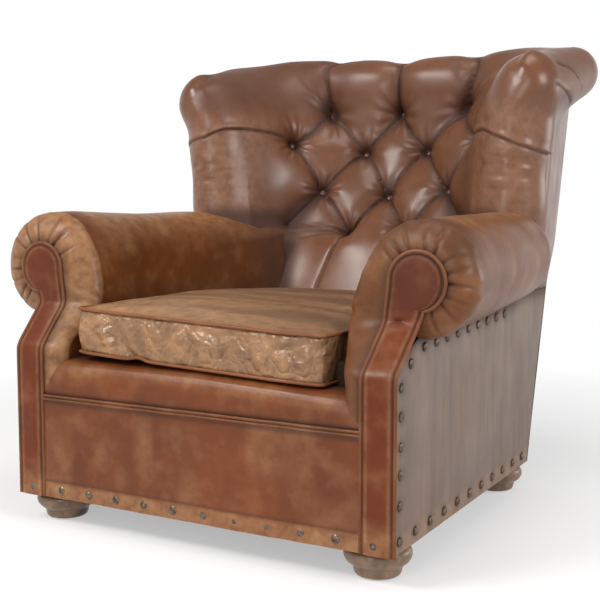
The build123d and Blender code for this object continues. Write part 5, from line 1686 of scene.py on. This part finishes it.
class ChairSizes(bpy.types.PropertyGroup):
    """Sizes of the chair's upholstery"""

    tuft_depth: size_property("Tuft depth", "How far a button draws the leather in", 0.041, 0.0)
    pillow_puff: FloatProperty(name="Pillow puff", description="Push of the stuffing between the buttons",
                               default=0.00017, min=0.0, precision=6)
    wrinkle_depth: size_property("Wrinkle depth", "Height of the fine wrinkles round a button", 0.0013, 0.0)
    ring_pleats: IntProperty(name="Ring pleats", description="Pleats gathered round each arm facing",
                             default=11, min=3)
    welt_radius: size_property("Welt radius", "Radius of the welts and the cushion's piping", 0.0033)
    nail_radius: size_property("Nail radius", "Radius of a nail head", 0.0088)
    nail_height: size_property("Nail height", "Height of a nail head", 0.0044)


def tint_property(label, words, colour):
    """Colour that a user can change."""
    return FloatVectorProperty(name=label, description=words, default=colour, size=3, min=0.0, max=1.0,
                               subtype="COLOR")


class ChairColours(bpy.types.PropertyGroup):
    """Colours of the chair"""

    arm: tint_property("Arms", "Leather of the rolled arms", (0.118, 0.034, 0.0058))
    back: tint_property("Back", "Leather of the tufted back and wings", (0.139, 0.053, 0.0245))
    cushion: tint_property("Cushion", "Leather of the seat cushion", (0.165, 0.080, 0.036))
    front: tint_property("Front", "Leather of the front border and seat roll", (0.142, 0.036, 0.008))
    facing: tint_property("Facings", "Leather of the arm facings", (0.128, 0.026, 0.0055))
    side: tint_property("Sides", "Leather of the outside panels", (0.150, 0.100, 0.075))
    welt: tint_property("Welts", "Leather of the welts", (0.150, 0.050, 0.017))
    # Colour of the painted shade in folds and hollows.
    crease_shade: tint_property("Creases", "Leather deep in a fold", (0.030, 0.009, 0.005))
    # Colour of real rubbing, also used as painted light on the arms and the cushion.
    worn_and_lit: tint_property("Wear", "Leather where it is rubbed", (0.400, 0.215, 0.100))
    # Colour of rubbing on the back's crests, also used as painted light on the wings.
    rubbed_and_lit: tint_property("Rubbed back", "Leather of the back where it is rubbed", (0.270, 0.135, 0.080))
    foot: tint_property("Feet", "Polished wood of the feet", (0.184, 0.110, 0.062))
    nail: tint_property("Nails", "Aged brass of the nails", (0.200, 0.155, 0.120))


STEPS = (CHAIR_OT_finishes, CHAIR_OT_back, CHAIR_OT_arms, CHAIR_OT_facings, CHAIR_OT_seat, CHAIR_OT_cushion,
         CHAIR_OT_zip, CHAIR_OT_panels, CHAIR_OT_nails, CHAIR_OT_feet, CHAIR_OT_stage)


class CHAIR_PT_sidebar(bpy.types.Panel):
    """Sizes, colours and steps of the chair"""

    bl_idname = "CHAIR_PT_sidebar"
    bl_label = "Club chair"
    bl_space_type = "VIEW_3D"
    bl_region_type = "UI"
    bl_category = "Chair"

    def draw(self, context):
        for group in (context.scene.chair_sizes, context.scene.chair_colours):
            for key in group.__annotations__:
                self.layout.prop(group, key)
        for step in STEPS:
            self.layout.operator(step.bl_idname)


CLASSES = (ChairSizes, ChairColours, *STEPS, CHAIR_PT_sidebar)


def register():
    for item in CLASSES:
        bpy.utils.register_class(item)
    bpy.types.Scene.chair_sizes = PointerProperty(type=ChairSizes)
    bpy.types.Scene.chair_colours = PointerProperty(type=ChairColours)


def unregister():
    del bpy.types.Scene.chair_colours
    del bpy.types.Scene.chair_sizes
    for item in reversed(CLASSES):
        bpy.utils.unregister_class(item)


def main():
    """Build the dressed chair."""
    register()
    for step in STEPS:
        group, name = step.bl_idname.split(".")
        getattr(getattr(bpy.ops, group), name)()
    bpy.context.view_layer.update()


if __name__ == "__main__":
    main()
